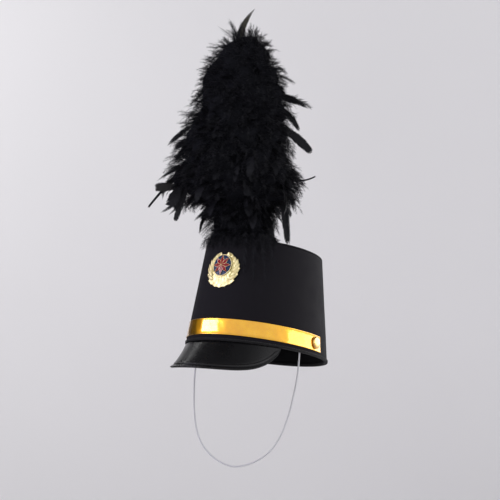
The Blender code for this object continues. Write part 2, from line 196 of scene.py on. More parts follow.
def add(tree, kind, inputs=None, **settings):
    """A node of a tree. Each input is given a value or a socket to link from."""
    node = tree.nodes.new(kind)
    for name, value in settings.items():
        setattr(node, name, value)
    for socket, value in (inputs or {}).items():
        if isinstance(value, bpy.types.NodeSocket):
            tree.links.new(value, node.inputs[socket])
        else:
            node.inputs[socket].default_value = value
    return node


def shader_group(name, inputs, outputs):
    """A shader group, what it is given, and the node that its results go to."""
    group = bpy.data.node_groups.new(name, "ShaderNodeTree")
    for socket, kind, value in inputs:
        made = group.interface.new_socket(socket, in_out="INPUT", socket_type=kind)
        if value is not None:
            made.default_value = value
    for socket, kind in outputs:
        group.interface.new_socket(socket, in_out="OUTPUT", socket_type=kind)
    return group, group.nodes.new("NodeGroupInput").outputs, group.nodes.new("NodeGroupOutput")


def math_node(tree, operation, first, second=0.0):
    return add(tree, "ShaderNodeMath", {0: first, 1: second}, operation=operation).outputs[0]


def span(tree, value, low, high, new_low, new_high):
    """Maps a value from one range to another, clamped."""
    inputs = {"Value": value, "From Min": low, "From Max": high, "To Min": new_low, "To Max": new_high}
    return add(tree, "ShaderNodeMapRange", inputs).outputs["Result"]


def blend_colours(tree, factor, first, second):
    node = add(tree, "ShaderNodeMix", {"Factor": factor}, data_type="RGBA")
    for place, colour in zip(MIX_COLOURS, (first, second)):
        if isinstance(colour, bpy.types.NodeSocket):
            tree.links.new(colour, node.inputs[place])
        else:
            node.inputs[place].default_value = (*colour, 1.0)
    return node.outputs[MIX_COLOUR_RESULT]


def noise(tree, vector, scale, detail=3.0, roughness=0.55):
    inputs = {"Vector": vector, "Scale": scale, "Detail": detail, "Roughness": roughness}
    return add(tree, "ShaderNodeTexNoise", inputs).outputs["Fac"]


def weave_group():
    """Threads that cross over and under each other, on a UV map in metres."""
    group, given, out = shader_group(
        "woven threads",
        [
            ("Vector", "NodeSocketVector", None),
            ("Threads", "NodeSocketFloat", 1600.0),
            ("Slub", "NodeSocketFloat", 0.3),
        ],
        [("Height", "NodeSocketFloat")],
    )

    def thread_backs(place):
        turn = math_node(group, "MULTIPLY", place, math.pi)
        return math_node(group, "ABSOLUTE", math_node(group, "SINE", turn))

    parts = add(group, "ShaderNodeSeparateXYZ", {0: given["Vector"]}).outputs
    across = math_node(group, "MULTIPLY", parts["X"], given["Threads"])
    along = math_node(group, "MULTIPLY", parts["Y"], given["Threads"])
    cell = math_node(group, "ADD", math_node(group, "FLOOR", across), math_node(group, "FLOOR", along))
    over = math_node(group, "PINGPONG", cell, 1.0)
    mix = add(group, "ShaderNodeMix", {"Factor": over})
    for place, run in zip(MIX_NUMBERS, (across, along)):
        group.links.new(thread_backs(run), mix.inputs[place])
    slub = noise(group, given["Vector"], scale=260.0, detail=4.0)
    rough = math_node(group, "MULTIPLY", slub, given["Slub"])
    group.links.new(math_node(group, "ADD", mix.outputs[0], rough), out.inputs["Height"])
    return group


def wear_group():
    """Handling marks: broad soft patches, and fine scratches in two directions."""
    group, given, out = shader_group(
        "handling marks",
        [
            ("Vector", "NodeSocketVector", None),
            ("Patch Size", "NodeSocketFloat", 60.0),
            ("Scratches", "NodeSocketFloat", 0.5),
        ],
        [("Mask", "NodeSocketFloat"), ("Height", "NodeSocketFloat")],
    )
    patches = noise(group, given["Vector"], given["Patch Size"], detail=5.0, roughness=0.6)
    lines = []
    for turn, cut in SCRATCH_RUNS:
        turned = {"Vector": given["Vector"], "Rotation": (0.0, turn, turn), "Scale": cut}
        place = add(group, "ShaderNodeMapping", turned).outputs[0]
        streak = noise(group, place, scale=1.0, detail=2.0)
        lines.append(span(group, streak, 0.66, 0.74, 0.0, 1.0))
    scratches = math_node(group, "MULTIPLY", math_node(group, "MAXIMUM", *lines), given["Scratches"])
    group.links.new(math_node(group, "ADD", patches, scratches), out.inputs["Mask"])
    group.links.new(math_node(group, "MULTIPLY", scratches, -1.0), out.inputs["Height"])
    return group


def dust_group():
    """Fine pale specks and lint."""
    group, given, out = shader_group(
        "dust",
        [("Vector", "NodeSocketVector", None), ("Amount", "NodeSocketFloat", 0.1)],
        [("Mask", "NodeSocketFloat")],
    )
    cells = add(group, "ShaderNodeTexVoronoi", {"Vector": given["Vector"], "Scale": 420.0})
    near = span(group, cells.outputs["Distance"], 0.05, 0.16, 1.0, 0.0)
    patchy = span(group, noise(group, given["Vector"], scale=25.0), 0.45, 0.7, 0.0, 1.0)
    mask = math_node(group, "MULTIPLY", math_node(group, "MULTIPLY", near, patchy), given["Amount"])
    group.links.new(mask, out.inputs["Mask"])
    return group


WEAVE, WEAR, DUST = weave_group(), wear_group(), dust_group()


class Look:
    """A material in the making: its tree, its shader and its coordinates."""

    def __init__(self, name, specular=0.5, **values):
        self.material = bpy.data.materials.new(name)
        self.material.use_nodes = True
        self.tree = self.material.node_tree
        self.shader = self.tree.nodes["Principled BSDF"]
        self.shader.inputs["Specular IOR Level"].default_value = specular
        for socket, value in values.items():
            self.shader.inputs[socket.replace("_", " ")].default_value = value
        places = add(self.tree, "ShaderNodeTexCoord").outputs
        self.place, self.surface = places["Object"], places["UV"]

    def noise(self, scale, detail=3.0, roughness=0.55):
        return noise(self.tree, self.place, scale, detail, roughness)

    def group(self, group, **inputs):
        """Places a shared effect, and gives its outputs."""
        node = add(self.tree, "ShaderNodeGroup", node_tree=group)
        for socket, value in inputs.items():
            target = node.inputs[socket.replace("_", " ")]
            if isinstance(value, bpy.types.NodeSocket):
                self.tree.links.new(value, target)
            else:
                target.default_value = value
        return node.outputs

    def link(self, socket, name):
        self.tree.links.new(socket, self.shader.inputs[name])

    def colour(self, factor, first, second):
        """Colours the surface from first, where the factor is 0, to second, where it is 1."""
        made = blend_colours(self.tree, factor, first, second)
        self.link(made, "Base Color")
        return made

    def polish(self, value, low, high, rough_low, rough_high):
        """Makes the roughness follow a value that runs from low to high."""
        self.link(span(self.tree, value, low, high, rough_low, rough_high), "Roughness")

    def bump(self, height, distance, strength=1.0, under=None):
        """Raises the surface by a height, on top of an earlier bump if there is one."""
        inputs = {"Height": height, "Distance": distance, "Strength": strength}
        if under is not None:
            inputs["Normal"] = under
        made = add(self.tree, "ShaderNodeBump", inputs).outputs[0]
        self.link(made, "Normal")
        return made


def cloth_look(name, dark, light, threads, depth):
    """Black cloth with a close weave, a little nap and a few specks of lint."""
    look = Look(name, specular=0.12, Roughness=0.7, Sheen_Weight=0.018, Sheen_Roughness=0.45)
    weave = look.group(WEAVE, Vector=look.surface, Threads=threads, Slub=0.5)
    mottle = look.noise(34.0, detail=6.0, roughness=0.65)
    shade = math_node(look.tree, "MULTIPLY", weave["Height"], mottle)
    base = look.colour(shade, dark, light)
    dust = look.group(DUST, Vector=look.place, Amount=0.16)
    look.colour(dust["Mask"], base, LINT_GREY)
    look.polish(mottle, 0.3, 0.7, 0.66, 0.84)
    nap = look.bump(mottle, 0.00025, 0.6)
    look.bump(weave["Height"], depth, 0.8, nap)
    return look.material


def ribbed_look():
    """Grosgrain tape: fine ribs across its length."""
    look = Look("binding tape", specular=0.2, Roughness=0.75, Sheen_Weight=0.04)
    parts = add(look.tree, "ShaderNodeSeparateXYZ", {0: look.surface}).outputs
    turn = math_node(look.tree, "MULTIPLY", parts["X"], math.tau * RIBS_PER_METRE)
    slub = look.noise(300.0)
    look.colour(slub, *TAPE_BLACK)
    look.polish(slub, 0.3, 0.7, 0.6, 0.85)
    look.bump(math_node(look.tree, "SINE", turn), 0.00012)
    return look.material


def patent_look():
    """Patent sheet: black, glossy, with a slight orange peel and soft handling marks."""
    look = Look("patent sheet", specular=0.36, Roughness=0.28)
    wear = look.group(WEAR, Vector=look.place, Patch_Size=28.0, Scratches=0.35)
    look.colour(wear["Mask"], *PATENT_BLACK)
    look.polish(wear["Mask"], 0.3, 1.0, 0.22, 0.42)
    peel = look.bump(look.noise(420.0, detail=2.0), 0.00003, 0.5)
    look.bump(wear["Height"], 0.00002, 0.5, peel)
    return look.material


def foil_look(name, deep, bright, roughness, patch, mottling, coat=0.0):
    """Gilt metal with patches that are duller and deeper in colour, and a fine grain."""
    look = Look(name, Metallic=1.0, Roughness=roughness, Coat_Weight=coat, Coat_Roughness=0.11, Coat_IOR=1.7)
    wear = look.group(WEAR, Vector=look.place, Patch_Size=patch, Scratches=0.4)
    look.colour(span(look.tree, wear["Mask"], 0.35, 0.7, 0.0, 1.0), bright, deep)
    look.polish(wear["Mask"], 0.3, 1.0, roughness * 0.75, roughness * 1.7)
    ripple = look.bump(look.noise(70.0), 0.0004 * mottling, 0.5)
    grain = look.bump(look.noise(900.0, detail=2.0), 0.00002, 0.5, ripple)
    look.bump(wear["Height"], 0.00002, 0.5, grain)
    return look.material


def enamel_look(name, deep, bright, lines):
    """Enamel over fine cut lines, under a clear coat."""
    look = Look(name, specular=0.25, Roughness=0.16, Coat_Weight=0.1, Coat_Roughness=0.05)
    cloud = look.noise(500.0, detail=4.0)
    drawn_out = add(look.tree, "ShaderNodeMapping", {"Vector": look.place, "Scale": lines}).outputs[0]
    cut = noise(look.tree, drawn_out, scale=1.0)
    shade = math_node(look.tree, "MULTIPLY", math_node(look.tree, "ADD", cloud, cut), 0.5)
    look.colour(span(look.tree, shade, 0.3, 0.7, 0.0, 1.0), deep, bright)
    look.polish(cloud, 0.3, 0.7, 0.12, 0.22)
    look.bump(cloud, 0.00002, 0.4)
    return look.material


def elastic_look():
    """Pale clear elastic with a fine spiral cover."""
    look = Look("clear elastic", Roughness=0.35, Transmission_Weight=0.25, IOR=1.4)
    parts = add(look.tree, "ShaderNodeSeparateXYZ", {0: look.surface}).outputs
    turn = math_node(look.tree, "MULTIPLY", parts["X"], math.tau / (math.pi * STRAP_DIAMETER) * BRAIDS_ROUND)
    climb = math_node(look.tree, "MULTIPLY", parts["Y"], math.tau * BRAIDS_PER_METRE)
    left = math_node(look.tree, "SINE", math_node(look.tree, "ADD", climb, turn))
    right = math_node(look.tree, "SINE", math_node(look.tree, "SUBTRACT", climb, turn))
    braid = math_node(look.tree, "MAXIMUM", left, right)
    look.colour(span(look.tree, braid, -1.0, 1.0, 0.0, 1.0), *ELASTIC_GREY)
    look.polish(braid, -1.0, 1.0, 0.45, 0.3)
    look.bump(braid, 0.0001, 0.7)
    return look.material


def plastic_look():
    """Plain moulded plastic, a little clouded."""
    look = Look("black plastic", Roughness=0.5)
    cloud = look.noise(200.0, detail=4.0)
    look.colour(cloud, *PLASTIC_BLACK)
    look.polish(cloud, 0.3, 0.7, 0.4, 0.6)
    look.bump(cloud, 0.00005, 0.4)
    return look.material


def thread_look():
    """Sewing thread with a fine twist."""
    look = Look("black thread", Roughness=0.6, Sheen_Weight=0.3)
    twist = look.noise(1500.0, detail=2.0)
    look.colour(twist, *THREAD_BLACK)
    look.bump(twist, 0.00005, 0.6)
    return look.material


def feather_look():
    """Black feather: a soft broken sheen, and a tone of its own for each feather, brown past 1."""
    look = Look("black feather", specular=0.12, Roughness=0.5)
    tone = add(look.tree, "ShaderNodeAttribute", attribute_name="tone").outputs["Fac"]
    cloud = look.noise(90.0)
    shade = math_node(look.tree, "MULTIPLY", tone, cloud)
    black = look.colour(span(look.tree, shade, 0.1, 0.6, 0.0, 1.0), *FEATHER_BLACK)
    look.colour(span(look.tree, tone, 1.0, 2.0, 0.0, 1.0), black, FEATHER_BROWN)
    look.polish(cloud, 0.3, 0.7, 0.4, 0.62)
    look.bump(look.noise(1800.0, detail=2.0), 0.00004, 0.5)
    return look.material


def core_look():
    """Packed down, which shows between the feathers."""
    look = Look("packed down", specular=0.0, Roughness=1.0)
    cloud = look.noise(260.0, detail=6.0)
    look.colour(cloud, *DOWN_BLACK)
    look.bump(cloud, 0.002)
    return look.material


# ---------------------------------------------------------------- shapes

SAME_PLACE = 1e-6
SHARP_ANGLE = math.radians(50.0)
SOFT_EDGE = 0.0004


def crown_point(angle, height, out=0.0):
    """A point on the crown's outer face, or standing out from it by out."""
    up = height / CROWN_HEIGHT
    half_width = RIM_HALF_WIDTH + (TOP_HALF_WIDTH - RIM_HALF_WIDTH) * up
    half_depth = RIM_HALF_DEPTH + (TOP_HALF_DEPTH - RIM_HALF_DEPTH) * up
    sine, cosine = math.sin(angle), math.cos(angle)
    outward = Vector((sine / half_width, -cosine / half_depth, 0.0)).normalized()
    return Vector((half_width * sine, -half_depth * cosine - TOP_FORWARD * up, height)) + outward * out


def outward_at(angle):
    """The level direction out of the crown's lower edge."""
    return Vector((math.sin(angle) / RIM_HALF_WIDTH, -math.cos(angle) / RIM_HALF_DEPTH, 0.0)).normalized()


def link_piece(name, mesh, looks):
    """Puts a mesh with its looks into the scene as a piece."""
    for look in looks:
        mesh.materials.append(look)
    piece = bpy.data.objects.new(name, mesh)
    bpy.context.scene.collection.objects.link(piece)
    return piece


def grid_mesh(name, points, closed=False):
    """A smooth mesh through rows of points, with a UV map in metres. Its faces point outwards where a row
    runs towards the wearer's left and the rows run upwards. With closed, each row's ends are joined."""
    points = np.asarray(points, float)
    rows, columns, _ = points.shape
    mesh = bpy.data.meshes.new(name)
    across = columns if closed else columns - 1
    row, column = np.meshgrid(np.arange(rows - 1), np.arange(across), indexing="ij")
    here, there = row * columns + column, row * columns + (column + 1) % columns
    faces = np.stack([here, there, there + columns, here + columns], axis=-1).reshape(-1, 4)
    mesh.from_pydata(points.reshape(-1, 3).tolist(), [], faces.tolist())
    looped = np.concatenate([points, points[:, :1]], axis=1)
    u = np.concatenate([[0.0], np.cumsum(np.linalg.norm(np.diff(looped, axis=1), axis=2).mean(axis=0))])
    v = np.concatenate([[0.0], np.cumsum(np.linalg.norm(np.diff(points, axis=0), axis=2).mean(axis=1))])
    us = np.stack([u[column], u[column + 1], u[column + 1], u[column]], axis=-1).reshape(-1)
    vs = np.stack([v[row], v[row], v[row + 1], v[row + 1]], axis=-1).reshape(-1)
    mesh.uv_layers.new(name="surface").data.foreach_set("uv", np.stack((us, vs), axis=-1).reshape(-1))
    mesh.shade_smooth()
    return mesh


def grid_piece(name, points, looks, closed=False):
    return link_piece(name, grid_mesh(name, points, closed), looks)


def merge_doubles(mesh):
    """Joins the points of a mesh that share a place, as at a pole."""
    bm = bmesh.new()
    bm.from_mesh(mesh)
    bmesh.ops.remove_doubles(bm, verts=bm.verts, dist=SAME_PLACE)
    bm.to_mesh(mesh)
    bm.free()
    return mesh


def close_ends(mesh, columns):
    """Closes a tube across its first and its last row of points."""
    bm = bmesh.new()
    bm.from_mesh(mesh)
    bm.verts.ensure_lookup_table()
    points = list(bm.verts)
    bm.faces.new(points[columns - 1 :: -1])
    bm.faces.new(points[-columns:])
    bmesh.ops.recalc_face_normals(bm, faces=bm.faces)
    bm.to_mesh(mesh)
    bm.free()
    return mesh


def thicken(piece, thickness, inner=0, bevel=0.0):
    """Gives a piece a wall behind its faces, with the look numbered inner inside, and soft edges."""
    wall = piece.modifiers.new("thickness", "SOLIDIFY")
    wall.thickness = thickness
    wall.offset = -1.0
    wall.use_even_offset = True
    wall.material_offset = inner
    wall.material_offset_rim = 0
    if bevel:
        edge = piece.modifiers.new("edges", "BEVEL")
        edge.width = bevel
        edge.segments = 2
        edge.limit_method = "ANGLE"
        edge.angle_limit = SHARP_ANGLE
    return piece


def finish_piece(piece, nodes):
    """Sets a piece on the root body and hides the solids that it stands for."""
    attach(piece, "root")
    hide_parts(*nodes)
    return piece


def steps_between(first, last, count):
    """Evenly spaced values from first to last."""
    return [first + (last - first) * step / count for step in range(count + 1)]


def ripple(angle, height, phase=0.0):
    """A slow unevenness of cloth over board, from -1 to 1."""
    return (
        math.sin(3 * angle + 21 * height + phase)
        + math.sin(7 * angle - 34 * height + 2.1 * phase)
        + math.sin(11 * angle + 57 * height + 1.3)
    ) / 3


# ---------------------------------------------------------------- crown

CROWN_COLUMNS, CROWN_ROWS = 240, 30
CROWN_UNEVEN = 0.00018
SEAM_COLUMNS = (0.0025, 0.005, 0.008, 0.012)
SEAM_DEPTH, SEAM_HALF_WIDTH = 0.0006, 0.0009
TOP_ROUND, TOP_ROUND_STEPS, TOP_ROWS = 0.0007, 5, 24
TOP_SETTLE, TOP_CLOTH = 0.0005, CLOTH - 0.0006
RIM_SOFT, RIM_SOFT_STEPS, RIM_BULGE, RIM_UNEVEN = 0.0006, 4, 0.0001, 0.00008
RIM_LIP = (
    # inwards and down from the tape's upper edge
    (0.0000, 0.0004),
    (0.0002, 0.0000),
)


def crown_angles():
    """Angles round the crown, closer together at the seam behind."""
    plain = [math.tau * step / CROWN_COLUMNS for step in range(CROWN_COLUMNS)]
    seam = [math.pi + side * offset for offset in SEAM_COLUMNS for side in (-1, 1)]
    return sorted(plain + seam)


def seam_dip(angle):
    """How deep the cloth is drawn in at the seam behind."""
    distance = abs(angle - math.pi) * RIM_HALF_DEPTH
    return SEAM_DEPTH * max(0.0, 1.0 - distance / SEAM_HALF_WIDTH) ** 2


def crown_relief(angle, height):
    """How far the cloth stands out from the plain oval."""
    settle = math.sin(math.pi * height / CROWN_HEIGHT)
    return CROWN_UNEVEN * ripple(angle, height) * settle - seam_dip(angle)


def crown_wall(looks):
    """The wall: cloth outside and lining inside, open above and below."""
    heights = steps_between(WALL_FOOT, CROWN_HEIGHT - CLOTH - GAP, CROWN_ROWS)
    rows = [
        [crown_point(angle, height, crown_relief(angle, height)) for angle in crown_angles()]
        for height in heights
    ]
    piece = grid_piece("crown_cloth_wall", rows, looks, closed=True)
    thicken(piece, CLOTH, inner=1, bevel=SOFT_EDGE)
    return finish_piece(piece, ["crown_wall"])


def crown_top(looks):
    """The flat top: its cloth turns over the edge, and ends at the hole for the stem."""
    angles = crown_angles()
    edge = [(0.0, CROWN_HEIGHT - CLOTH)]
    for turn in steps_between(0.0, math.pi / 2, TOP_ROUND_STEPS):
        edge.append((-TOP_ROUND * (1 - math.cos(turn)), CROWN_HEIGHT - TOP_ROUND * (1 - math.sin(turn))))
    rows = [[crown_point(angle, height, out) for angle in angles] for out, height in edge]
    brim = rows[-1]
    hole = STEM_RADIUS + GAP
    for share in steps_between(0.0, 1.0, TOP_ROWS)[1:]:
        settle = TOP_SETTLE * math.sin(math.pi * share)
        row = []
        for place, angle in zip(brim, angles):
            middle = Vector((hole * math.sin(angle), -STEM_FORWARD - hole * math.cos(angle), CROWN_HEIGHT))
            point = place.lerp(middle, share)
            point.z -= settle * (1 + 0.5 * ripple(angle, share / 8))
            row.append(point)
        rows.append(row)
    piece = grid_piece("crown_cloth_top", rows, looks, closed=True)
    thicken(piece, TOP_CLOTH)
    return finish_piece(piece, ["crown_top"])


def rim_binding(look):
    """Tape folded round the lower edge, soft at its folds."""
    out, inside = GAP + TAPE, CLOTH + GAP + TAPE
    belly = TAPE_HEIGHT * 0.6
    profile = [(-inside, TAPE_HEIGHT), (-inside - RIM_BULGE, belly), (-inside, RIM_SOFT)]
    for centre, first in ((-inside + RIM_SOFT, math.pi), (out - RIM_SOFT, math.pi * 1.5)):
        for turn in steps_between(first, first + math.pi / 2, RIM_SOFT_STEPS)[1:]:
            profile.append((centre + RIM_SOFT * math.cos(turn), RIM_SOFT * (1 + math.sin(turn))))
    profile.append((out + RIM_BULGE, belly))
    profile += [(out - inwards, TAPE_HEIGHT - down) for inwards, down in RIM_LIP]
    rows = []
    for reach, height in profile:
        row = []
        for angle in crown_angles():
            row.append(crown_point(angle, height, reach + RIM_UNEVEN * ripple(9 * angle, height * 5)))
        rows.append(row)
    piece = grid_piece("rim_tape", rows, [look], closed=True)
    thicken(piece, TAPE * 0.85)
    return finish_piece(piece, ["rim_binding"])


# ---------------------------------------------------------------- peak

PEAK_COLUMNS, PEAK_ROWS = 110, 14
PEAK_FOLD = 0.0002
PEAK_RELIEF = (
    # distance from the edge as a share of the border, how far the sheet stands proud
    (0.00, 0.00000),
    (0.05, 0.00045),
    (0.14, 0.00075),
    (0.26, 0.00072),
    (0.36, 0.00030),
    (0.44, -0.00018),
    (0.52, 0.00000),
    (1.00, 0.00000),
    (1.50, 0.00004),
    (1.62, 0.00048),
    (1.72, 0.00064),
    (1.82, 0.00048),
    (1.94, 0.00002),
    (2.06, -0.00018),
    (2.20, 0.00000),
)


def peak_column(share):
    """Points from the peak's edge up to the top of its flange, with the rolled edge and the pressed line."""
    angle = share * PEAK_SPREAD
    length = PEAK_LENGTH * (1.0 - share**2) ** PEAK_TAPER
    border = min(PEAK_BORDER, PEAK_BORDER_SHARE * length)
    slope = PEAK_SLOPE_FRONT + PEAK_SLOPE_GAIN * share**2
    outward = outward_at(angle)
    start = crown_point(angle, 0.0) + Vector((0.0, 0.0, PEAK_START))

    def down(tilt):
        return outward * math.cos(tilt) + Vector((0.0, 0.0, -math.sin(tilt)))

    def proud(tilt):
        return outward * math.sin(tilt) + Vector((0.0, 0.0, math.cos(tilt)))

    fold = start + down(slope) * (length - border)
    flare = slope - PEAK_BORDER_FLARE
    size = border / PEAK_BORDER
    points = []
    for part, rise in PEAK_RELIEF:
        if part <= 1.0:
            points.append(fold + down(flare) * border * (1.0 - part) + proud(flare) * rise * size)
        else:
            points.append(fold - down(slope) * border * (part - 1.0) + proud(slope) * rise * size)
    last = fold - down(slope) * border * (PEAK_RELIEF[-1][0] - 1.0)
    points += [last.lerp(start, step / PEAK_ROWS) for step in range(1, PEAK_ROWS + 1)]
    bend = crown_point(angle, 0.0, -PEAK_INSET) + Vector((0.0, 0.0, -GAP))
    head = crown_point(angle, PEAK_FLANGE, -PEAK_INSET)
    return points + [start.lerp(bend, 0.5) + Vector((0.0, 0.0, PEAK_FOLD)), bend, bend.lerp(head, 0.5), head]


def peak(look):
    """The peak, with columns closer together at its narrow ends."""
    shares = [PEAK_END * math.sin(math.pi / 2 * step) for step in steps_between(-1.0, 1.0, PEAK_COLUMNS)]
    columns = [peak_column(share) for share in shares]
    piece = grid_piece("peak_patent", list(zip(*columns)), [look])
    thicken(piece, PEAK_SHEET, bevel=SOFT_EDGE)
    return finish_piece(piece, ["peak"])


# ---------------------------------------------------------------- band and buttons

BAND_COLUMNS, BAND_ROWS = 220, 6
BAND_ROLL = (
    # out from the band's face, inwards from its edge
    (-0.0004, 0.0000),
    (0.0000, 0.0002),
    (0.0002, 0.0005),
    (0.0000, 0.0011),
)
BAND_UNEVEN, BAND_EVEN_EDGE = 0.00020, 0.005
BUTTON_COLUMNS, BUTTON_ROWS, BUTTON_FLATNESS = 64, 16, 0.35
BUTTON_FOOT = (
    # inwards from the rim, height
    (0.0005, 0.0000),
    (0.0001, 0.0003),
)


def band_dip(angle):
    """How much lower the band lies at an angle than in front."""
    return BAND_DIP * (angle / BAND_SPREAD) ** 2


def front_band(look):
    """The band, with a roll along both edges and a slow unevenness between them."""
    face = GAP + BAND_SHEET
    low, high, flat = BAND_FOOT, BAND_HEAD, BAND_ROLL[-1][1]
    profile = [(face + out, low + inwards) for out, inwards in BAND_ROLL]
    profile += [(face, height) for height in steps_between(low + flat, high - flat, BAND_ROWS)[1:-1]]
    profile += [(face + out, high - inwards) for out, inwards in reversed(BAND_ROLL)]
    rows = []
    for reach, height in profile:
        inner = min(1.0, max(0.0, min(height - low, high - height) / BAND_EVEN_EDGE))
        row = []
        for angle in steps_between(-BAND_SPREAD, BAND_SPREAD, BAND_COLUMNS):
            uneven = BAND_UNEVEN * inner * ripple(4 * angle, 3 * height, 1.7)
            row.append(crown_point(angle, height - band_dip(angle), reach + uneven))
        rows.append(row)
    piece = grid_piece("gilt_band", rows, [look])
    thicken(piece, BAND_SHEET * 0.9)
    return finish_piece(piece, ["front_band"])


def button(name, angle, node, look):
    """A domed button with a steep side, whose foot is turned in."""
    profile = [(0.0, 0.0), *((BUTTON_RADIUS - inwards, height) for inwards, height in BUTTON_FOOT)]
    for rise in steps_between(0.0, math.pi / 2, BUTTON_ROWS)[:-1]:
        reach = BUTTON_RADIUS * math.cos(rise) ** BUTTON_FLATNESS
        profile.append((reach, BUTTON_EDGE + (BUTTON_HEIGHT - BUTTON_EDGE) * math.sin(rise)))
    profile.append((0.0, BUTTON_HEIGHT))
    turns = [math.tau * step / BUTTON_COLUMNS for step in range(BUTTON_COLUMNS)]
    rows = [[(reach * math.cos(turn), reach * math.sin(turn), up) for turn in turns] for reach, up in profile]
    mesh = merge_doubles(grid_mesh(name, rows, closed=True))
    height = (BAND_FOOT + BAND_HEAD) / 2 - band_dip(angle)
    below, above = crown_point(angle, BAND_FOOT), crown_point(angle, BAND_HEAD)
    along = Vector((math.cos(angle) * RIM_HALF_WIDTH, math.sin(angle) * RIM_HALF_DEPTH, 0.0))
    face = along.cross(above - below).normalized()
    place = Matrix.Translation(crown_point(angle, height, 2 * GAP + BAND_SHEET))
    mesh.transform(place @ face.to_track_quat("Z", "Y").to_matrix().to_4x4())
    piece = link_piece(name, mesh, [look])
    return finish_piece(piece, [node])


# ---------------------------------------------------------------- badge

BADGE_SHARP_ANGLE = math.radians(38.0)
WREATH_HALF = (
    # across, up
    (0.0000, -0.0295),
    (0.0035, -0.0283),
    (0.0080, -0.0280),
    (0.0110, -0.0258),
    (0.0155, -0.0245),
    (0.0205, -0.0195),
    (0.0183, -0.0172),
    (0.0240, -0.0112),
    (0.0222, -0.0082),
    (0.0253, -0.0030),
    (0.0226, -0.0004),
    (0.0218, 0.0060),
    (0.0178, 0.0060),
    (0.0164, 0.0116),
    (0.0132, 0.0118),
    (0.0106, 0.0162),
    (0.0058, 0.0182),
    (0.0040, 0.0150),
)
WREATH_EDGE = 0.0003
OUTER_LEAVES = (
    # across and up of the root, heading from upright towards the side (degrees), length, half width
    (0.0115, -0.0185, 62, 0.0135, 0.0030),
    (0.0150, -0.0140, 44, 0.0140, 0.0031),
    (0.0172, -0.0085, 30, 0.0135, 0.0030),
    (0.0178, -0.0030, 14, 0.0125, 0.0027),
    (0.0170, 0.0028, -3, 0.0092, 0.0023),
    (0.0153, 0.0076, -24, 0.0088, 0.0017),
    (0.0112, 0.0124, -46, 0.0074, 0.0014),
)
INNER_LEAVES = (
    (0.0125, -0.0150, 30, 0.0085, 0.0017),
    (0.0148, -0.0100, 16, 0.0085, 0.0016),
    (0.0158, -0.0045, 2, 0.0082, 0.0015),
    (0.0155, 0.0010, -14, 0.0078, 0.0014),
    (0.0138, 0.0058, -32, 0.0070, 0.0013),
)
OUTER_RISE, INNER_RISE = 0.0011, 0.0015
LEAF_ROWS, LEAF_COLUMNS, LEAF_BACK = 10, 8, 0.0002
VEIN_DEPTH, VEIN_WIDTH = 0.35, 0.16
FLUTES, FLUTE_SPREAD, FLUTE_TURN = 9, math.radians(68.0), 0.70
FLUTE_ROOT, FLUTE_LENGTH, FLUTE_SHORTER = 0.0095, 0.0182, 0.0048
FLUTE_HALF_WIDTH, FLUTE_RISE = 0.0036, 0.0005
DISC_COLUMNS, DISC_ROWS, DISC_DOME = 72, 6, 0.0003
DISC_RIM = (
    # out from the disc's edge, forward of its face
    (0.0001, 0.0000),
    (-0.0002, 0.0003),
    (-0.0006, 0.0003),
    (-0.0008, 0.0000),
)
PETALS, PETAL_TIP, PETAL_NOTCH = 8, 0.0132, 0.0072
PETAL_RISE, PETAL_FOOT, PETAL_LIP, PETAL_EDGE = 0.0018, 0.0004, 0.0005, 0.00016
BEAD_COLUMNS = 24
BEAD = (
    # radius, forward of the rosette's back
    (0.0009, 0.0006),
    (0.0009, 0.0021),
    (0.0007, 0.0024),
    (0.0003, 0.0026),
    (0.0000, 0.0027),
)


def in_front(depth):
    """The way from the badge's back to a depth in front of it."""
    return Vector((0.0, -depth, 0.0))


def bridge(bm, low, high, look=0):
    """Faces from one ring of points to the next."""
    for here in range(len(low)):
        there = (here + 1) % len(low)
        bm.faces.new((low[here], low[there], high[there], high[here])).material_index = look


def turned_rings(bm, profile, columns):
    """Rings of points round the badge's middle, from pairs of radius and depth."""
    turns = [math.tau * step / columns for step in range(columns)]
    return [[bm.verts.new((r * math.sin(t), -depth, r * math.cos(t))) for t in turns] for r, depth in profile]


def badge_solid(name, bm, looks, node):
    """Bends a badge layer to the crown's curve, sets it on the front and makes it a piece."""
    bmesh.ops.remove_doubles(bm, verts=bm.verts, dist=SAME_PLACE)
    bmesh.ops.recalc_face_normals(bm, faces=bm.faces)
    for vertex in bm.verts:
        vertex.co.y += vertex.co.x**2 / (2 * BADGE_BEND)
    mesh = bpy.data.meshes.new(name)
    bm.to_mesh(mesh)
    bm.free()
    below, above = crown_point(0.0, 0.0), crown_point(0.0, CROWN_HEIGHT)
    lean = Matrix.Rotation(-math.atan2(above.y - below.y, CROWN_HEIGHT), 4, "X")
    mesh.transform(Matrix.Translation(crown_point(0.0, BADGE_HEIGHT, GAP)) @ lean)
    mesh.shade_smooth()
    mesh.set_sharp_from_angle(angle=BADGE_SHARP_ANGLE)
    piece = link_piece(name, mesh, looks)
    return finish_piece(piece, [node])


def edge_of(rows):
    """The points round a grid of points, in order."""
    starts, ends = [row[0] for row in rows], [row[-1] for row in rows]
    return starts + rows[-1][1:] + ends[-2::-1] + rows[0][-2:0:-1]


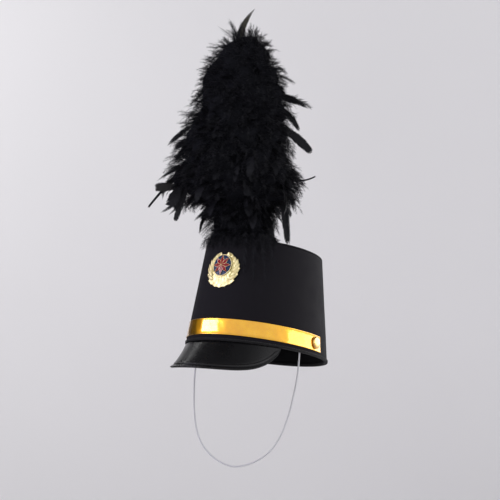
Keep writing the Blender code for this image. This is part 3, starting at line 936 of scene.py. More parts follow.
def lay_leaf(bm, root, heading, length, half_width, back, rise, blunt=False):
    """A leaf with a vein, whose back is flat. A blunt one widens towards a round end."""
    along = Vector((math.sin(heading), 0.0, math.cos(heading)))
    side = Vector((math.cos(heading), 0.0, -math.sin(heading)))
    fronts, backs = [], []
    for t in steps_between(0.0, 1.0, LEAF_ROWS):
        if blunt:
            wide = half_width * (0.35 + 0.65 * t) * (1.0 if t < 0.85 else math.cos((t - 0.85) * 8))
        else:
            wide = half_width * max(0.03, math.sin(math.pi * t**0.75) ** 0.8)
        crest = (0.75 + 0.25 * math.cos(math.pi * t)) * min(1.0, 6 * t + 0.2, 6 * (1 - t) + 0.12)
        vein_depth = VEIN_DEPTH * min(1.0, 4 * (1 - t))
        front, rear = [], []
        for s in steps_between(-1.0, 1.0, LEAF_COLUMNS):
            bulge = (1 - s * s) * crest
            vein = vein_depth * math.exp(-((s / VEIN_WIDTH) ** 2))
            place = root + along * length * t + side * wide * s
            front.append(bm.verts.new(place + in_front(back + rise * bulge * (1 - vein))))
            rear.append(bm.verts.new(place + in_front(back - LEAF_BACK)))
        fronts.append(front)
        backs.append(rear)
    for rows, flip in ((fronts, False), (backs, True)):
        for low, high in zip(rows, rows[1:]):
            for cut in range(LEAF_COLUMNS):
                face = (low[cut], low[cut + 1], high[cut + 1], high[cut])
                bm.faces.new(face[::-1] if flip else face)
    bridge(bm, edge_of(fronts), edge_of(backs))


def plate(bm, outline, back, front, edge):
    """A plate with a softened front edge."""
    middle = Vector((0.0, 0.0, sum(up for _, up in outline) / len(outline)))
    rings = []
    for depth, inset in ((back, 0.0), (front - edge, 0.0), (front, edge)):
        ring = []
        for across, up in outline:
            place = Vector((across, 0.0, up))
            place += (middle - place).normalized() * inset
            ring.append(bm.verts.new(place + in_front(depth)))
        rings.append(ring)
    for low, high in zip(rings, rings[1:]):
        bridge(bm, low, high)
    bm.faces.new(rings[0][::-1])
    bm.faces.new(rings[-1])


def wreath(look):
    """The wreath's plate, with leaves up both sides and flutes across its foot."""
    bm = bmesh.new()
    front = WREATH_SHEET - WREATH_EDGE
    other_half = [(-across, up) for across, up in reversed(WREATH_HALF[1:])]
    plate(bm, [*WREATH_HALF, *other_half], 0.0, front, WREATH_EDGE)
    for side in (1, -1):
        for leaves, rise in ((OUTER_LEAVES, OUTER_RISE), (INNER_LEAVES, INNER_RISE)):
            for across, up, heading, length, half_width in leaves:
                root = Vector((side * across, 0.0, up))
                lay_leaf(bm, root, side * math.radians(heading), length, half_width, front, rise)
    for turn in steps_between(-FLUTE_SPREAD, FLUTE_SPREAD, FLUTES - 1):
        root = Vector((FLUTE_ROOT * math.sin(turn), 0.0, -FLUTE_ROOT * math.cos(turn) ** 0.5))
        heading = math.pi - turn * FLUTE_TURN
        length = FLUTE_LENGTH - FLUTE_SHORTER * abs(math.sin(turn))
        lay_leaf(bm, root, heading, length, FLUTE_HALF_WIDTH, front, FLUTE_RISE, blunt=True)
    return badge_solid("badge_leaves", bm, [look], "badge_wreath")


def disc(enamel, gilt):
    """A slightly domed enamel disc inside a thin gilt rim."""
    bm = bmesh.new()
    back, front = WREATH_SHEET + GAP, WREATH_SHEET + GAP + DISC_SHEET
    profile = [(0.0, back), (DISC_RADIUS, back)]
    profile += [(DISC_RADIUS + out, front + proud) for out, proud in DISC_RIM]
    enamel_from = len(profile) - 1
    enamel_radius = profile[-1][0]
    for share in steps_between(0.0, 1.0, DISC_ROWS)[1:]:
        profile.append((enamel_radius * (1 - share), front + DISC_DOME * math.sin(math.pi / 2 * share)))
    rings = turned_rings(bm, profile, DISC_COLUMNS)
    for number, (low, high) in enumerate(zip(rings, rings[1:])):
        bridge(bm, low, high, 0 if number >= enamel_from else 1)
    return badge_solid("badge_enamel", bm, [enamel, gilt], "badge_disc")


def lay_petal(bm, turn, back):
    """A petal cut to a ridge, in a thin gilt edge."""
    corners = [Vector()]
    half = math.pi / PETALS
    for angle, reach in ((turn - half, PETAL_NOTCH), (turn, PETAL_TIP), (turn + half, PETAL_NOTCH)):
        corners.append(Vector((math.sin(angle), 0.0, math.cos(angle))) * reach)
    middle = sum(corners, Vector()) / 4
    insides = []
    for corner in corners:
        inset = PETAL_EDGE * (1.6 if corner.length > PETAL_NOTCH * 1.1 else 1.1)
        insides.append(corner + (middle - corner).normalized() * inset)
    rises = (PETAL_RISE * 0.85, PETAL_RISE * 0.35, PETAL_FOOT, PETAL_RISE * 0.35)
    foot = [bm.verts.new(corner + in_front(back)) for corner in corners]
    lip = [bm.verts.new(c + in_front(back + PETAL_LIP + rise * 0.9)) for c, rise in zip(corners, rises)]
    inner = [bm.verts.new(c + in_front(back + PETAL_FOOT + rise)) for c, rise in zip(insides, rises)]
    ridge = bm.verts.new(corners[2] * 0.45 + in_front(back + PETAL_RISE * 1.05))
    bridge(bm, foot, lip, 1)
    bridge(bm, lip, inner, 1)
    for here, there in zip(inner, inner[1:] + inner[:1]):
        bm.faces.new((here, there, ridge))
    bm.faces.new(foot[::-1]).material_index = 1


def rosette(enamel, gilt):
    """Eight petals of red enamel round a gilt bead."""
    bm = bmesh.new()
    back = WREATH_SHEET + 2 * GAP + DISC_SHEET
    for petal in range(PETALS):
        lay_petal(bm, math.tau * petal / PETALS, back)
    rings = turned_rings(bm, [(radius, back + depth) for radius, depth in BEAD], BEAD_COLUMNS)
    for low, high in zip(rings, rings[1:]):
        bridge(bm, low, high, 1)
    bm.faces.new(rings[0][::-1]).material_index = 1
    return badge_solid("badge_petals", bm, [enamel, gilt], "badge_rosette")


# ---------------------------------------------------------------- chin strap

STRAP_RINGS, STRAP_SIDES = 401, 14
TAB_CLOTH, TAB_EDGE = 0.0009, 0.0002
TAB_COLUMNS, TAB_FOLD_ROWS = 12, 8


def strap_route():
    """The strap's way from the left tab to the right one. Its right half mirrors the left."""
    left = [Vector((across, -STRAP_FORWARD, height)) for across, height in STRAP_HALF]
    return left + [Vector((-point.x, point.y, point.z)) for point in left[-2::-1]]


def chin_strap(look):
    """A round elastic cord from tab to tab."""
    path = even_points(strap_route(), STRAP_POINTS)
    fine = even_points(strap_route(), STRAP_RINGS)
    ahead = np.gradient(fine, axis=0)
    ahead /= np.linalg.norm(ahead, axis=1)[:, None]
    front = np.array([0.0, -1.0, 0.0])
    side = np.cross(ahead, front)
    turns = np.arange(STRAP_SIDES) * math.tau / STRAP_SIDES
    section = np.cos(turns)[None, :, None] * front + np.sin(turns)[None, :, None] * side[:, None]
    mesh = grid_mesh("elastic", fine[:, None] + STRAP_DIAMETER / 2 * section, closed=True)
    piece = link_piece("elastic", close_ends(mesh, STRAP_SIDES), [look])
    finish_piece(piece, ["chin_strap"])
    return piece


def strap_tab(name, side, node, look):
    """A folded tab inside the wall, with its fold at the foot."""
    foot = STRAP_HALF[0][1] + GAP
    middle = side * math.acos(STRAP_FORWARD / RIM_HALF_DEPTH)
    spread = TAB_WIDTH / 2 / RIM_HALF_DEPTH
    outer, half = -(CLOTH + 2 * GAP), TAB_DEPTH / 2
    profile = [(outer - TAB_DEPTH, foot + TAB_HEIGHT), (outer - TAB_DEPTH, foot + half)]
    for turn in steps_between(math.pi, math.tau, TAB_FOLD_ROWS)[1:-1]:
        profile.append((outer - half + half * math.cos(turn), foot + half + half * math.sin(turn)))
    profile += [(outer, foot + half), (outer, foot + TAB_HEIGHT)]
    angles = steps_between(middle - spread, middle + spread, TAB_COLUMNS)
    rows = [[crown_point(angle, height, out) for angle in angles] for out, height in profile]
    piece = grid_piece(name, rows, [look])
    thicken(piece, TAB_CLOTH, bevel=TAB_EDGE)
    return finish_piece(piece, [node])


# ---------------------------------------------------------------- node-built pieces

# Places of the Random Value node's sockets, whose names are shared: lowest, highest, result
CHANCE_SOCKETS = {"FLOAT": (2, 3, 1), "INT": (4, 5, 2), "FLOAT_VECTOR": (0, 1, 0)}
STITCH_SPACING, STITCH_LENGTH, STITCH_RADIUS, STITCH_RISE = 0.0028, 0.0020, 0.00022, 0.00008
STITCH_ROWS, STITCH_SIDES = 8, 6
RIM_ROW_INSET = 0.0009
SEAM_ROW_OFFSET, SEAM_ROW_FOOT, SEAM_ROW_STEPS = 0.0035, 0.0060, 60
TACK_SHARE, TACK_HEIGHTS, TACK_STEPS = 0.75, (0.30, 0.55, 0.80), 6
SLANT_SEED, STITCH_SIZE_SEED = 51, 52
# The second side of a feather has the next seed
RAKE_SEED, RUFFLE_SEED, LENGTH_SEED, KIND_SEED = 11, 21, 31, 41


def geometry_tree(name, inputs):
    """A geometry tree with named inputs. The first is the geometry that it works on."""
    tree = bpy.data.node_groups.new(name, "GeometryNodeTree")
    tree.interface.new_socket("Geometry", in_out="INPUT", socket_type="NodeSocketGeometry")
    for socket, kind in inputs:
        tree.interface.new_socket(socket, in_out="INPUT", socket_type=kind)
    tree.interface.new_socket("Geometry", in_out="OUTPUT", socket_type="NodeSocketGeometry")
    return tree, tree.nodes.new("NodeGroupInput").outputs, tree.nodes.new("NodeGroupOutput").inputs


class Runs:
    """Runs of edges, gathered as one mesh whose points hold numbers or directions."""

    def __init__(self):
        self.points, self.edges, self.held = [], [], {}

    def lay(self, points, closed=False, **held):
        """Adds a run through points. What it holds is named, with a value for each point."""
        first, count = len(self.points), len(points)
        self.points += [tuple(point) for point in points]
        self.edges += [(first + step, first + step + 1) for step in range(count - 1)]
        if closed:
            self.edges.append((first + count - 1, first))
        for name, values in held.items():
            self.held.setdefault(name, []).extend(values)

    def mesh(self, name):
        mesh = bpy.data.meshes.new(name)
        mesh.from_pydata(self.points, self.edges, [])
        for attribute, values in self.held.items():
            values = np.array(values, float)
            kind, field = ("FLOAT", "value") if values.ndim == 1 else ("FLOAT_VECTOR", "vector")
            mesh.attributes.new(attribute, kind, "POINT").data.foreach_set(field, values.reshape(-1))
        return mesh


def grow(name, mesh, tree, values):
    """Runs a tree on a mesh and keeps the result as a plain mesh."""
    base = bpy.data.objects.new(name, mesh)
    bpy.context.scene.collection.objects.link(base)
    modifier = base.modifiers.new("grow", "NODES")
    modifier.node_group = tree
    for item in tree.interface.items_tree:
        if item.in_out == "INPUT" and item.name in values:
            modifier[item.identifier] = values[item.name]
    graph = bpy.context.evaluated_depsgraph_get()
    made = bpy.data.meshes.new_from_object(base.evaluated_get(graph), depsgraph=graph)
    made.name = name
    bpy.data.objects.remove(base)
    return made


def grow_piece(name, runs, tree, values, node):
    """Makes a piece of what a tree grows on runs of edges, with the look among its values."""
    mesh = grow(name, runs.mesh(name), tree, values)
    # Of what a feather's points hold, the look uses only the tone
    for attribute in ("side", "barb", "shaft"):
        if attribute in mesh.attributes:
            mesh.attributes.remove(mesh.attributes[attribute])
    piece = link_piece(name, mesh, [] if len(mesh.materials) else [values["Look"]])
    return finish_piece(piece, [node])


def stored(tree, name, kind="FLOAT"):
    """A value that the points hold."""
    node = add(tree, "GeometryNodeInputNamedAttribute", {"Name": name}, data_type=kind)
    return node.outputs["Attribute"]


def chance(tree, low, high, seed, kind="FLOAT"):
    """A random value between two others."""
    node = tree.nodes.new("FunctionNodeRandomValue")
    node.data_type = kind
    *ends, result = CHANCE_SOCKETS[kind]
    for place, value in zip(ends, (low, high)):
        if isinstance(value, bpy.types.NodeSocket):
            tree.links.new(value, node.inputs[place])
        else:
            node.inputs[place].default_value = value
    node.inputs["Seed"].default_value = seed
    return node.outputs[result]


def scaled(tree, vector, factor):
    return add(tree, "ShaderNodeVectorMath", {0: vector, 3: factor}, operation="SCALE").outputs[0]


def even_places(tree, curves, spacing):
    """Points at an even spacing along curves."""
    node = add(tree, "GeometryNodeResampleCurve", {"Curve": curves, "Length": spacing}, mode="LENGTH")
    return node.outputs[0]


def along_axes(tree, first, first_axis, second, second_axis, change):
    """A rotation that lays one axis along a vector and a second one towards another, and a change to it."""
    axes = {"primary_axis": first_axis, "secondary_axis": second_axis}
    laid = add(tree, "FunctionNodeAxesToRotation", {0: first, 1: second}, **axes).outputs[0]
    return add(tree, "FunctionNodeRotateRotation", {0: laid, 1: change}, rotation_space="LOCAL").outputs[0]


def stitch_tree():
    """A row of stitches along every run of edges, whose points hold the direction out of the cloth."""
    tree, given, out = geometry_tree(
        "stitches",
        [
            ("Stitch", "NodeSocketObject"),
            ("Spacing", "NodeSocketFloat"),
            ("Slant", "NodeSocketVector"),
            ("Slant Back", "NodeSocketVector"),
            ("Smallest", "NodeSocketFloat"),
            ("Look", "NodeSocketMaterial"),
        ],
    )
    rows = add(tree, "GeometryNodeMeshToCurve", {"Mesh": given["Geometry"]}).outputs["Curve"]
    ahead = add(tree, "GeometryNodeInputTangent").outputs[0]
    slant = chance(tree, given["Slant Back"], given["Slant"], SLANT_SEED, "FLOAT_VECTOR")
    laid = {
        "Points": even_places(tree, rows, given["Spacing"]),
        "Instance": add(tree, "GeometryNodeObjectInfo", {"Object": given["Stitch"]}).outputs["Geometry"],
        "Rotation": along_axes(tree, ahead, "X", stored(tree, "outward", "FLOAT_VECTOR"), "Z", slant),
        "Scale": chance(tree, given["Smallest"], 1.0, STITCH_SIZE_SEED),
    }
    sewn = add(tree, "GeometryNodeInstanceOnPoints", laid).outputs[0]
    plain = add(tree, "GeometryNodeRealizeInstances", {0: sewn}).outputs[0]
    finished = add(tree, "GeometryNodeSetMaterial", {"Geometry": plain, "Material": given["Look"]}).outputs[0]
    tree.links.new(finished, out[0])
    return tree


def stitch_mesh():
    """One stitch along +X: a thread that rises from the cloth and dips back into it."""
    turns = [math.tau * side / STITCH_SIDES for side in range(STITCH_SIDES)]
    rows = []
    for t in steps_between(0.0, 1.0, STITCH_ROWS):
        along = (t - 0.5) * STITCH_LENGTH
        arch = math.sin(math.pi * t)
        radius = STITCH_RADIUS * arch**0.35
        lift = STITCH_RADIUS * (1.3 * arch**0.5 - 0.7)
        rows.append([(along, radius * math.cos(turn), lift + radius * math.sin(turn)) for turn in turns])
    return merge_doubles(grid_mesh("stitch", rows, closed=True))


def rim_row():
    """One row round the tape, just below its upper edge."""
    rows = Runs()
    height, out = TAPE_HEIGHT - RIM_ROW_INSET, GAP + TAPE + STITCH_RISE
    angles = steps_between(0.0, math.tau, CROWN_COLUMNS)[:-1]
    points = [crown_point(angle, height, out) for angle in angles]
    rows.lay(points, closed=True, outward=[outward_at(angle) for angle in angles])
    return rows


def seam_rows():
    """A row on each side of the seam behind."""
    rows = Runs()
    heights = steps_between(SEAM_ROW_FOOT, CROWN_HEIGHT - SEAM_ROW_FOOT, SEAM_ROW_STEPS)
    for side in (-1, 1):
        angle = math.pi + side * SEAM_ROW_OFFSET / RIM_HALF_WIDTH
        points = [crown_point(angle, height, crown_relief(angle, height) + STITCH_RISE) for height in heights]
        rows.lay(points, outward=[outward_at(angle)] * len(points))
    return rows


def tack_rows(side):
    """Rows that hold a strap's tab to the wall, on the tab's inner face."""
    rows = Runs()
    foot = STRAP_HALF[0][1] + GAP
    middle = side * math.acos(STRAP_FORWARD / RIM_HALF_DEPTH)
    spread = TACK_SHARE * TAB_WIDTH / 2 / RIM_HALF_DEPTH
    out = -(CLOTH + 2 * GAP + TAB_DEPTH + STITCH_RISE)
    for share in TACK_HEIGHTS:
        height = foot + share * TAB_HEIGHT
        angles = steps_between(middle - spread, middle + spread, TACK_STEPS)
        points = [crown_point(angle, height, out) for angle in angles]
        rows.lay(points, outward=[-outward_at(angle) for angle in angles])
    return rows


def stitching(look):
    """Every row of stitches, as pieces of the sewn parts."""
    tree = stitch_tree()
    stitch = bpy.data.objects.new("stitch", stitch_mesh())
    manner = {
        "Stitch": stitch, "Spacing": STITCH_SPACING, "Smallest": 0.88, "Look": look,
        "Slant": (0.05, 0.03, 0.10), "Slant Back": (-0.05, -0.03, -0.02),
    }
    for name, rows, node, slot in (
        ("rim_stitches", rim_row(), "rim_binding", "binding_tape"),
        ("seam_stitches", seam_rows(), "crown_wall", "crown_cloth"),
        ("tab_stitches_left", tack_rows(1), "strap_tab_left", "binding_tape"),
        ("tab_stitches_right", tack_rows(-1), "strap_tab_right", "binding_tape"),
    ):
        grow_piece(name, rows, tree, manner, node)
    bpy.data.objects.remove(stitch)


def feather_tree():
    """Barbs along both sides of every shaft. The base has the shafts as edges, and its points hold the
    vane's sideways direction, the barbs' length there and the shaft's radius."""
    tree, given, out = geometry_tree(
        "feathers",
        [
            ("Barbs", "NodeSocketCollection"),
            ("Kinds", "NodeSocketInt"),
            ("Spacing", "NodeSocketFloat"),
            ("Rake", "NodeSocketFloat"),
            ("Rake Spread", "NodeSocketFloat"),
            ("Ruffle", "NodeSocketVector"),
            ("Ruffle Back", "NodeSocketVector"),
            ("Shortest", "NodeSocketFloat"),
            ("Look", "NodeSocketMaterial"),
        ],
    )
    shafts = add(tree, "GeometryNodeMeshToCurve", {"Mesh": given["Geometry"]}).outputs["Curve"]
    section = add(tree, "GeometryNodeCurvePrimitiveCircle", {"Resolution": 3, "Radius": 1.0}).outputs["Curve"]
    drawn = {"Curve": shafts, "Profile Curve": section, "Scale": stored(tree, "shaft")}
    grown = [add(tree, "GeometryNodeCurveToMesh", drawn).outputs[0]]
    places = even_places(tree, shafts, given["Spacing"])
    ahead = add(tree, "GeometryNodeInputTangent").outputs[0]
    apart = {"Collection": given["Barbs"], "Separate Children": True, "Reset Children": True}
    kinds = add(tree, "GeometryNodeCollectionInfo", apart).outputs[0]
    last_kind = math_node(tree, "SUBTRACT", given["Kinds"], 1.0)
    for number, hand in enumerate((1.0, -1.0)):
        side = scaled(tree, stored(tree, "side", "FLOAT_VECTOR"), hand)
        spread = chance(tree, -1.0, 1.0, RAKE_SEED + number)
        raked = {0: spread, 1: given["Rake Spread"], 2: given["Rake"]}
        turn = add(tree, "ShaderNodeMath", raked, operation="MULTIPLY_ADD").outputs[0]
        lean = scaled(tree, ahead, math_node(tree, "SINE", turn))
        reach = scaled(tree, side, math_node(tree, "COSINE", turn))
        heading = add(tree, "ShaderNodeVectorMath", {0: lean, 1: reach}).outputs[0]
        ruffle = chance(tree, given["Ruffle Back"], given["Ruffle"], RUFFLE_SEED + number, "FLOAT_VECTOR")
        shortened = chance(tree, given["Shortest"], 1.0, LENGTH_SEED + number)
        laid = {
            "Points": places,
            "Instance": kinds,
            "Pick Instance": True,
            "Instance Index": chance(tree, 0, last_kind, KIND_SEED + number, "INT"),
            "Rotation": along_axes(tree, heading, "X", ahead, "Y", ruffle),
            "Scale": math_node(tree, "MULTIPLY", stored(tree, "barb"), shortened),
        }
        barbs = add(tree, "GeometryNodeInstanceOnPoints", laid).outputs[0]
        grown.append(add(tree, "GeometryNodeRealizeInstances", {0: barbs}).outputs[0])
    join = tree.nodes.new("GeometryNodeJoinGeometry")
    for geometry in reversed(grown):
        tree.links.new(geometry, join.inputs[0])
    dressed = {"Geometry": join.outputs[0], "Material": given["Look"]}
    tree.links.new(add(tree, "GeometryNodeSetMaterial", dressed).outputs[0], out[0])
    return tree


def barb_kinds(name, half_width, curls, sections):
    """Barbs one unit long, along +X: thin blades that curl towards the feather's tip and out of its plane."""
    kinds = bpy.data.collections.new(name)
    for number, (curl, lift) in enumerate(curls):
        points, faces = [], []
        for along, wide in sections[:-1]:
            for edge in (-1, 1):
                points.append((along, curl * along**2 + edge * half_width * wide, lift * along**2))
        along = sections[-1][0]
        points.append((along, curl * along**2, lift * along**2))
        pairs = len(sections) - 1
        for pair in range(pairs - 1):
            at = 2 * pair
            faces.append((at, at + 2, at + 3, at + 1))
        faces.append((2 * pairs - 2, 2 * pairs, 2 * pairs - 1))
        mesh = bpy.data.meshes.new(f"{name}_{number}")
        mesh.from_pydata(points, [], faces)
        kinds.objects.link(bpy.data.objects.new(mesh.name, mesh))
    return kinds


# ---------------------------------------------------------------- plume

PLUME_OUTLINE = (
    # height, forward, reach of the close feathers to the front right and to the back left
    (0.1370, 0.0600, 0.036, 0.040),
    (0.1500, 0.0620, 0.043, 0.041),
    (0.1600, 0.0650, 0.046, 0.038),
    (0.1700, 0.0670, 0.046, 0.038),
    (0.1800, 0.0720, 0.053, 0.042),
    (0.1900, 0.0760, 0.073, 0.056),
    (0.2000, 0.0790, 0.091, 0.069),
    (0.2100, 0.0820, 0.091, 0.073),
    (0.2200, 0.0840, 0.091, 0.077),
    (0.2300, 0.0850, 0.085, 0.074),
    (0.2400, 0.0860, 0.079, 0.068),
    (0.2550, 0.0870, 0.079, 0.060),
    (0.2700, 0.0870, 0.078, 0.056),
    (0.2850, 0.0880, 0.071, 0.057),
    (0.3000, 0.0890, 0.069, 0.057),
    (0.3150, 0.0910, 0.067, 0.058),
    (0.3300, 0.0930, 0.063, 0.053),
    (0.3450, 0.0945, 0.061, 0.048),
    (0.3600, 0.0960, 0.060, 0.049),
    (0.3700, 0.0970, 0.052, 0.038),
    (0.3800, 0.0980, 0.045, 0.033),
    (0.3900, 0.0990, 0.038, 0.031),
    (0.4000, 0.1000, 0.025, 0.021),
    (0.4100, 0.1010, 0.009, 0.010),
    (0.4200, 0.1015, 0.003, 0.004),
)
PLUME_LEAN = math.radians(90.0) + math.radians(CAMERA_AZIMUTH)
FEATHER_LIFTS = (
    # height, lift at the root, lift at the tip (degrees)
    (0.137, 25, -22),
    (0.165, 15, -68),
    (0.200, 15, -68),
    (0.260, 20, -62),
    (0.320, 28, -48),
    (0.360, 40, -20),
    (0.390, 50, -6),
    (0.422, 62, 18),
)
STANDING_OUT = (
    # kind, root across and height, tip across and height, toward the front left, bow, half width, tone
    # At the top
    ("sickle", -0.0232, 0.4050, -0.0081, 0.4552, 0.000, 0.16, 0.0062, 2.0),
    ("down", -0.0244, 0.4020, -0.0398, 0.4334, 0.004, -0.10, 0.0080, 0.3),
    ("down", -0.0250, 0.4020, -0.0225, 0.4290, 0.006, 0.05, 0.0060, 0.1),
    ("down", -0.0290, 0.4000, -0.0345, 0.4230, 0.004, -0.08, 0.0060, 0.2),
    ("down", -0.0269, 0.4080, -0.0495, 0.4187, 0.000, -0.05, 0.0035, 0.3),
    ("down", -0.0144, 0.4060, -0.0193, 0.4262, 0.000, 0.02, 0.0060, 0.6),
    ("down", -0.0090, 0.4050, -0.0106, 0.4321, 0.004, 0.02, 0.0070, 0.4),
    ("down", -0.0023, 0.4040, -0.0020, 0.4274, 0.006, 0.05, 0.0070, 0.7),
    ("blade", 0.0048, 0.4000, 0.0054, 0.4205, 0.010, 0.05, 0.0018, 0.1),
    ("down", 0.0077, 0.4000, 0.0147, 0.4133, 0.000, 0.10, 0.0060, 0.5),
    ("down", -0.0360, 0.3985, -0.0636, 0.3916, 0.004, 0.12, 0.0060, 0.3),
    ("down", -0.0330, 0.3960, -0.0600, 0.3850, 0.002, 0.18, 0.0055, 0.2),
    ("blade", -0.0400, 0.3995, -0.0564, 0.3791, 0.000, 0.25, 0.0022, 0.1),
    # Wearer's left, from the top down
    ("down", 0.0296, 0.3781, 0.0457, 0.3680, 0.000, 0.15, 0.0050, 0.5),
    ("down", 0.0350, 0.3640, 0.0561, 0.3560, 0.000, 0.15, 0.0060, 0.3),
    ("sickle", 0.0400, 0.3360, 0.0780, 0.3240, 0.002, 0.10, 0.0066, 0.5),
    ("down", 0.0400, 0.3360, 0.0802, 0.3262, 0.004, 0.10, 0.0104, 0.7),
    ("paddle", 0.0430, 0.3220, 0.0700, 0.2922, 0.000, 0.10, 0.0040, 1.1),
    ("paddle", 0.0470, 0.2930, 0.0887, 0.2628, 0.006, 0.06, 0.0068, 0.8),
    ("quill", 0.0640, 0.2255, 0.0977, 0.2328, 0.000, -0.22, 0.0017, 0.1),
    ("down", 0.0570, 0.2410, 0.0780, 0.2318, 0.000, 0.12, 0.0080, 0.5),
    ("down", 0.0590, 0.2300, 0.0853, 0.2202, 0.004, 0.10, 0.0080, 0.4),
    ("blade", 0.0640, 0.2080, 0.0756, 0.1801, 0.004, 0.10, 0.0022, 0.2),
    ("blade", 0.0660, 0.2120, 0.0781, 0.1834, 0.000, 0.10, 0.0020, 0.6),
    ("down", 0.0610, 0.2140, 0.0740, 0.1880, 0.004, 0.15, 0.0080, 0.5),
    ("paddle", 0.0562, 0.2010, 0.0716, 0.1366, 0.004, 0.04, 0.0050, 1.05),
    ("paddle", 0.0610, 0.2010, 0.0748, 0.1364, 0.006, 0.03, 0.0021, 0.1),
    ("down", 0.0446, 0.1840, 0.0570, 0.1560, 0.002, 0.10, 0.0070, 0.8),
    ("down", 0.0370, 0.1640, 0.0515, 0.1420, 0.006, 0.10, 0.0070, 0.4),
    # Wearer's right, from the top down
    ("blade", -0.0480, 0.3640, -0.0650, 0.3290, 0.000, 0.20, 0.0075, 0.3),
    ("down", -0.0570, 0.3370, -0.0754, 0.3153, 0.000, 0.15, 0.0070, 0.6),
    ("down", -0.0620, 0.2960, -0.0866, 0.2935, 0.002, -0.05, 0.0070, 0.7),
    ("down", -0.0620, 0.2880, -0.0900, 0.2830, 0.000, 0.05, 0.0060, 0.5),
    ("blade", -0.0680, 0.2830, -0.0997, 0.2490, 0.002, -0.08, 0.0044, 0.2),
    ("down", -0.0690, 0.2800, -0.0965, 0.2500, 0.000, -0.12, 0.0045, 0.4),
    ("paddle", -0.0660, 0.2640, -0.0880, 0.2450, 0.004, -0.20, 0.0040, 0.4),
    ("down", -0.0720, 0.2600, -0.0906, 0.2349, 0.004, -0.35, 0.0060, 0.8),
    ("down", -0.0740, 0.2420, -0.0988, 0.2321, 0.004, -0.05, 0.0060, 0.6),
    ("blade", -0.0700, 0.2280, -0.1064, 0.2004, 0.002, -0.08, 0.0030, 0.2),
    ("down", -0.0740, 0.2240, -0.1000, 0.2080, 0.000, -0.12, 0.0060, 0.5),
    ("paddle", -0.0760, 0.1950, -0.1066, 0.1909, 0.004, -0.04, 0.0068, 1.25),
    ("quill", -0.0880, 0.2030, -0.1125, 0.1652, 0.000, -0.03, 0.0023, 0.1),
    ("paddle", -0.0760, 0.2000, -0.0850, 0.1690, 0.006, 0.05, 0.0080, 1.0),
    ("paddle", -0.0680, 0.1980, -0.0765, 0.1640, 0.002, 0.05, 0.0065, 0.8),
    ("blade", -0.0771, 0.1772, -0.0961, 0.1595, 0.000, 0.08, 0.0030, 0.9),
    ("blade", -0.0740, 0.1762, -0.0925, 0.1708, 0.002, 0.04, 0.0024, 0.3),
    ("blade", -0.0720, 0.1740, -0.0850, 0.1571, 0.004, 0.06, 0.0021, 0.1),
    ("paddle", -0.0700, 0.1770, -0.0757, 0.1504, 0.002, -0.06, 0.0042, 1.1),
    ("down", -0.0620, 0.1850, -0.0640, 0.1639, 0.002, -0.10, 0.0070, 0.8),
    ("down", -0.0530, 0.1840, -0.0545, 0.1645, 0.004, -0.10, 0.0070, 0.7),
    ("blade", -0.0300, 0.1740, -0.0517, 0.1530, 0.004, -0.06, 0.0034, 0.1),
    ("blade", -0.0290, 0.1720, -0.0480, 0.1565, 0.006, -0.12, 0.0024, 0.1),
    ("down", -0.0300, 0.1700, -0.0440, 0.1560, 0.004, 0.00, 0.0060, 0.4),
    ("down", -0.0260, 0.1560, -0.0442, 0.1385, 0.004, -0.06, 0.0060, 0.3),
    ("down", -0.0260, 0.1490, -0.0385, 0.1330, 0.006, -0.06, 0.0036, 0.4),
    # In front of the crown: down hanging there, in the darkest tones, which partly paint the plume's shade on
    # the crown
    ("wisp", 0.0340, 0.1420, 0.0483, 0.0813, 0.028, 0.06, 0.0100, 0.2),
    ("wisp", 0.0420, 0.1410, 0.0591, 0.0965, 0.030, 0.08, 0.0090, 0.1),
    ("wisp", 0.0260, 0.1420, 0.0329, 0.0823, 0.026, 0.02, 0.0110, 0.1),
    ("wisp", 0.0160, 0.1420, 0.0206, 0.0903, 0.024, -0.02, 0.0120, 0.0),
)
STANDING_MIDDLE, STANDING_TILT = -0.085, 0.06
DOWN_COPIES, DOWN_LOOSE, DOWN_FAN = 3, 0.0016, 0.35
BODY = (
    # piece, kind, how many, lowest and highest root, length, width of one side, how far the tips go over the
    # outline, change of the lifts at root and tip (degrees)
    ("plume_down_low", "down", 860, (0.139, 0.222), (0.018, 0.032), (0.007, 0.011), 0.002, (0, 0)),
    ("plume_down_middle", "down", 900, (0.222, 0.315), (0.018, 0.032), (0.007, 0.011), 0.005, (0, 0)),
    ("plume_down_high", "down", 900, (0.315, 0.405), (0.014, 0.026), (0.006, 0.010), 0.002, (0, -8)),
    ("plume_blades", "blade", 130, (0.160, 0.300), (0.036, 0.056), (0.0045, 0.0075), 0.002, (0, 0)),
    ("plume_blades", "blade", 110, (0.150, 0.370), (0.040, 0.060), (0.0080, 0.0120), -0.010, (-35, -16)),
    ("plume_down_low", "down", 110, (0.139, 0.147), (0.019, 0.027), (0.008, 0.011), 0.001, (-22, -10)),
)
SHAFTS = {
    # radius at the root, share of it that is lost towards the tip
    "blade": (0.00038, 0.75),
    "paddle": (0.00045, 0.60),
    "sickle": (0.00060, 0.60),
    "down": (0.00020, 0.75),
    "wisp": (0.00020, 0.75),
}
QUILL_TAPER = 0.35
FEATHER_STEPS, STANDING_STEPS = 6, 8
# How far beyond the crown's top and how far above it feathers are kept off it
TOP_BEYOND, TOP_CLEAR = 0.0015, 0.0025
# How much the body's feathers vary: angle round the plume, lifts (degrees), reach, sway and roll
BODY_TURN, BODY_LIFTS, BODY_REACH, BODY_SWAY = 0.3, (14.0, 22.0), 0.0035, 0.5
# Where they are rooted: nearest and farthest as shares of the reach, how far down as a share of their rise
BODY_NEAREST, BODY_FARTHEST, BODY_SINK = 0.2, 0.95, 0.2
BODY_LEVELS, BODY_CROWDING = 400, 0.012
GOLDEN_TURN = math.pi * (3.0 - math.sqrt(5.0))
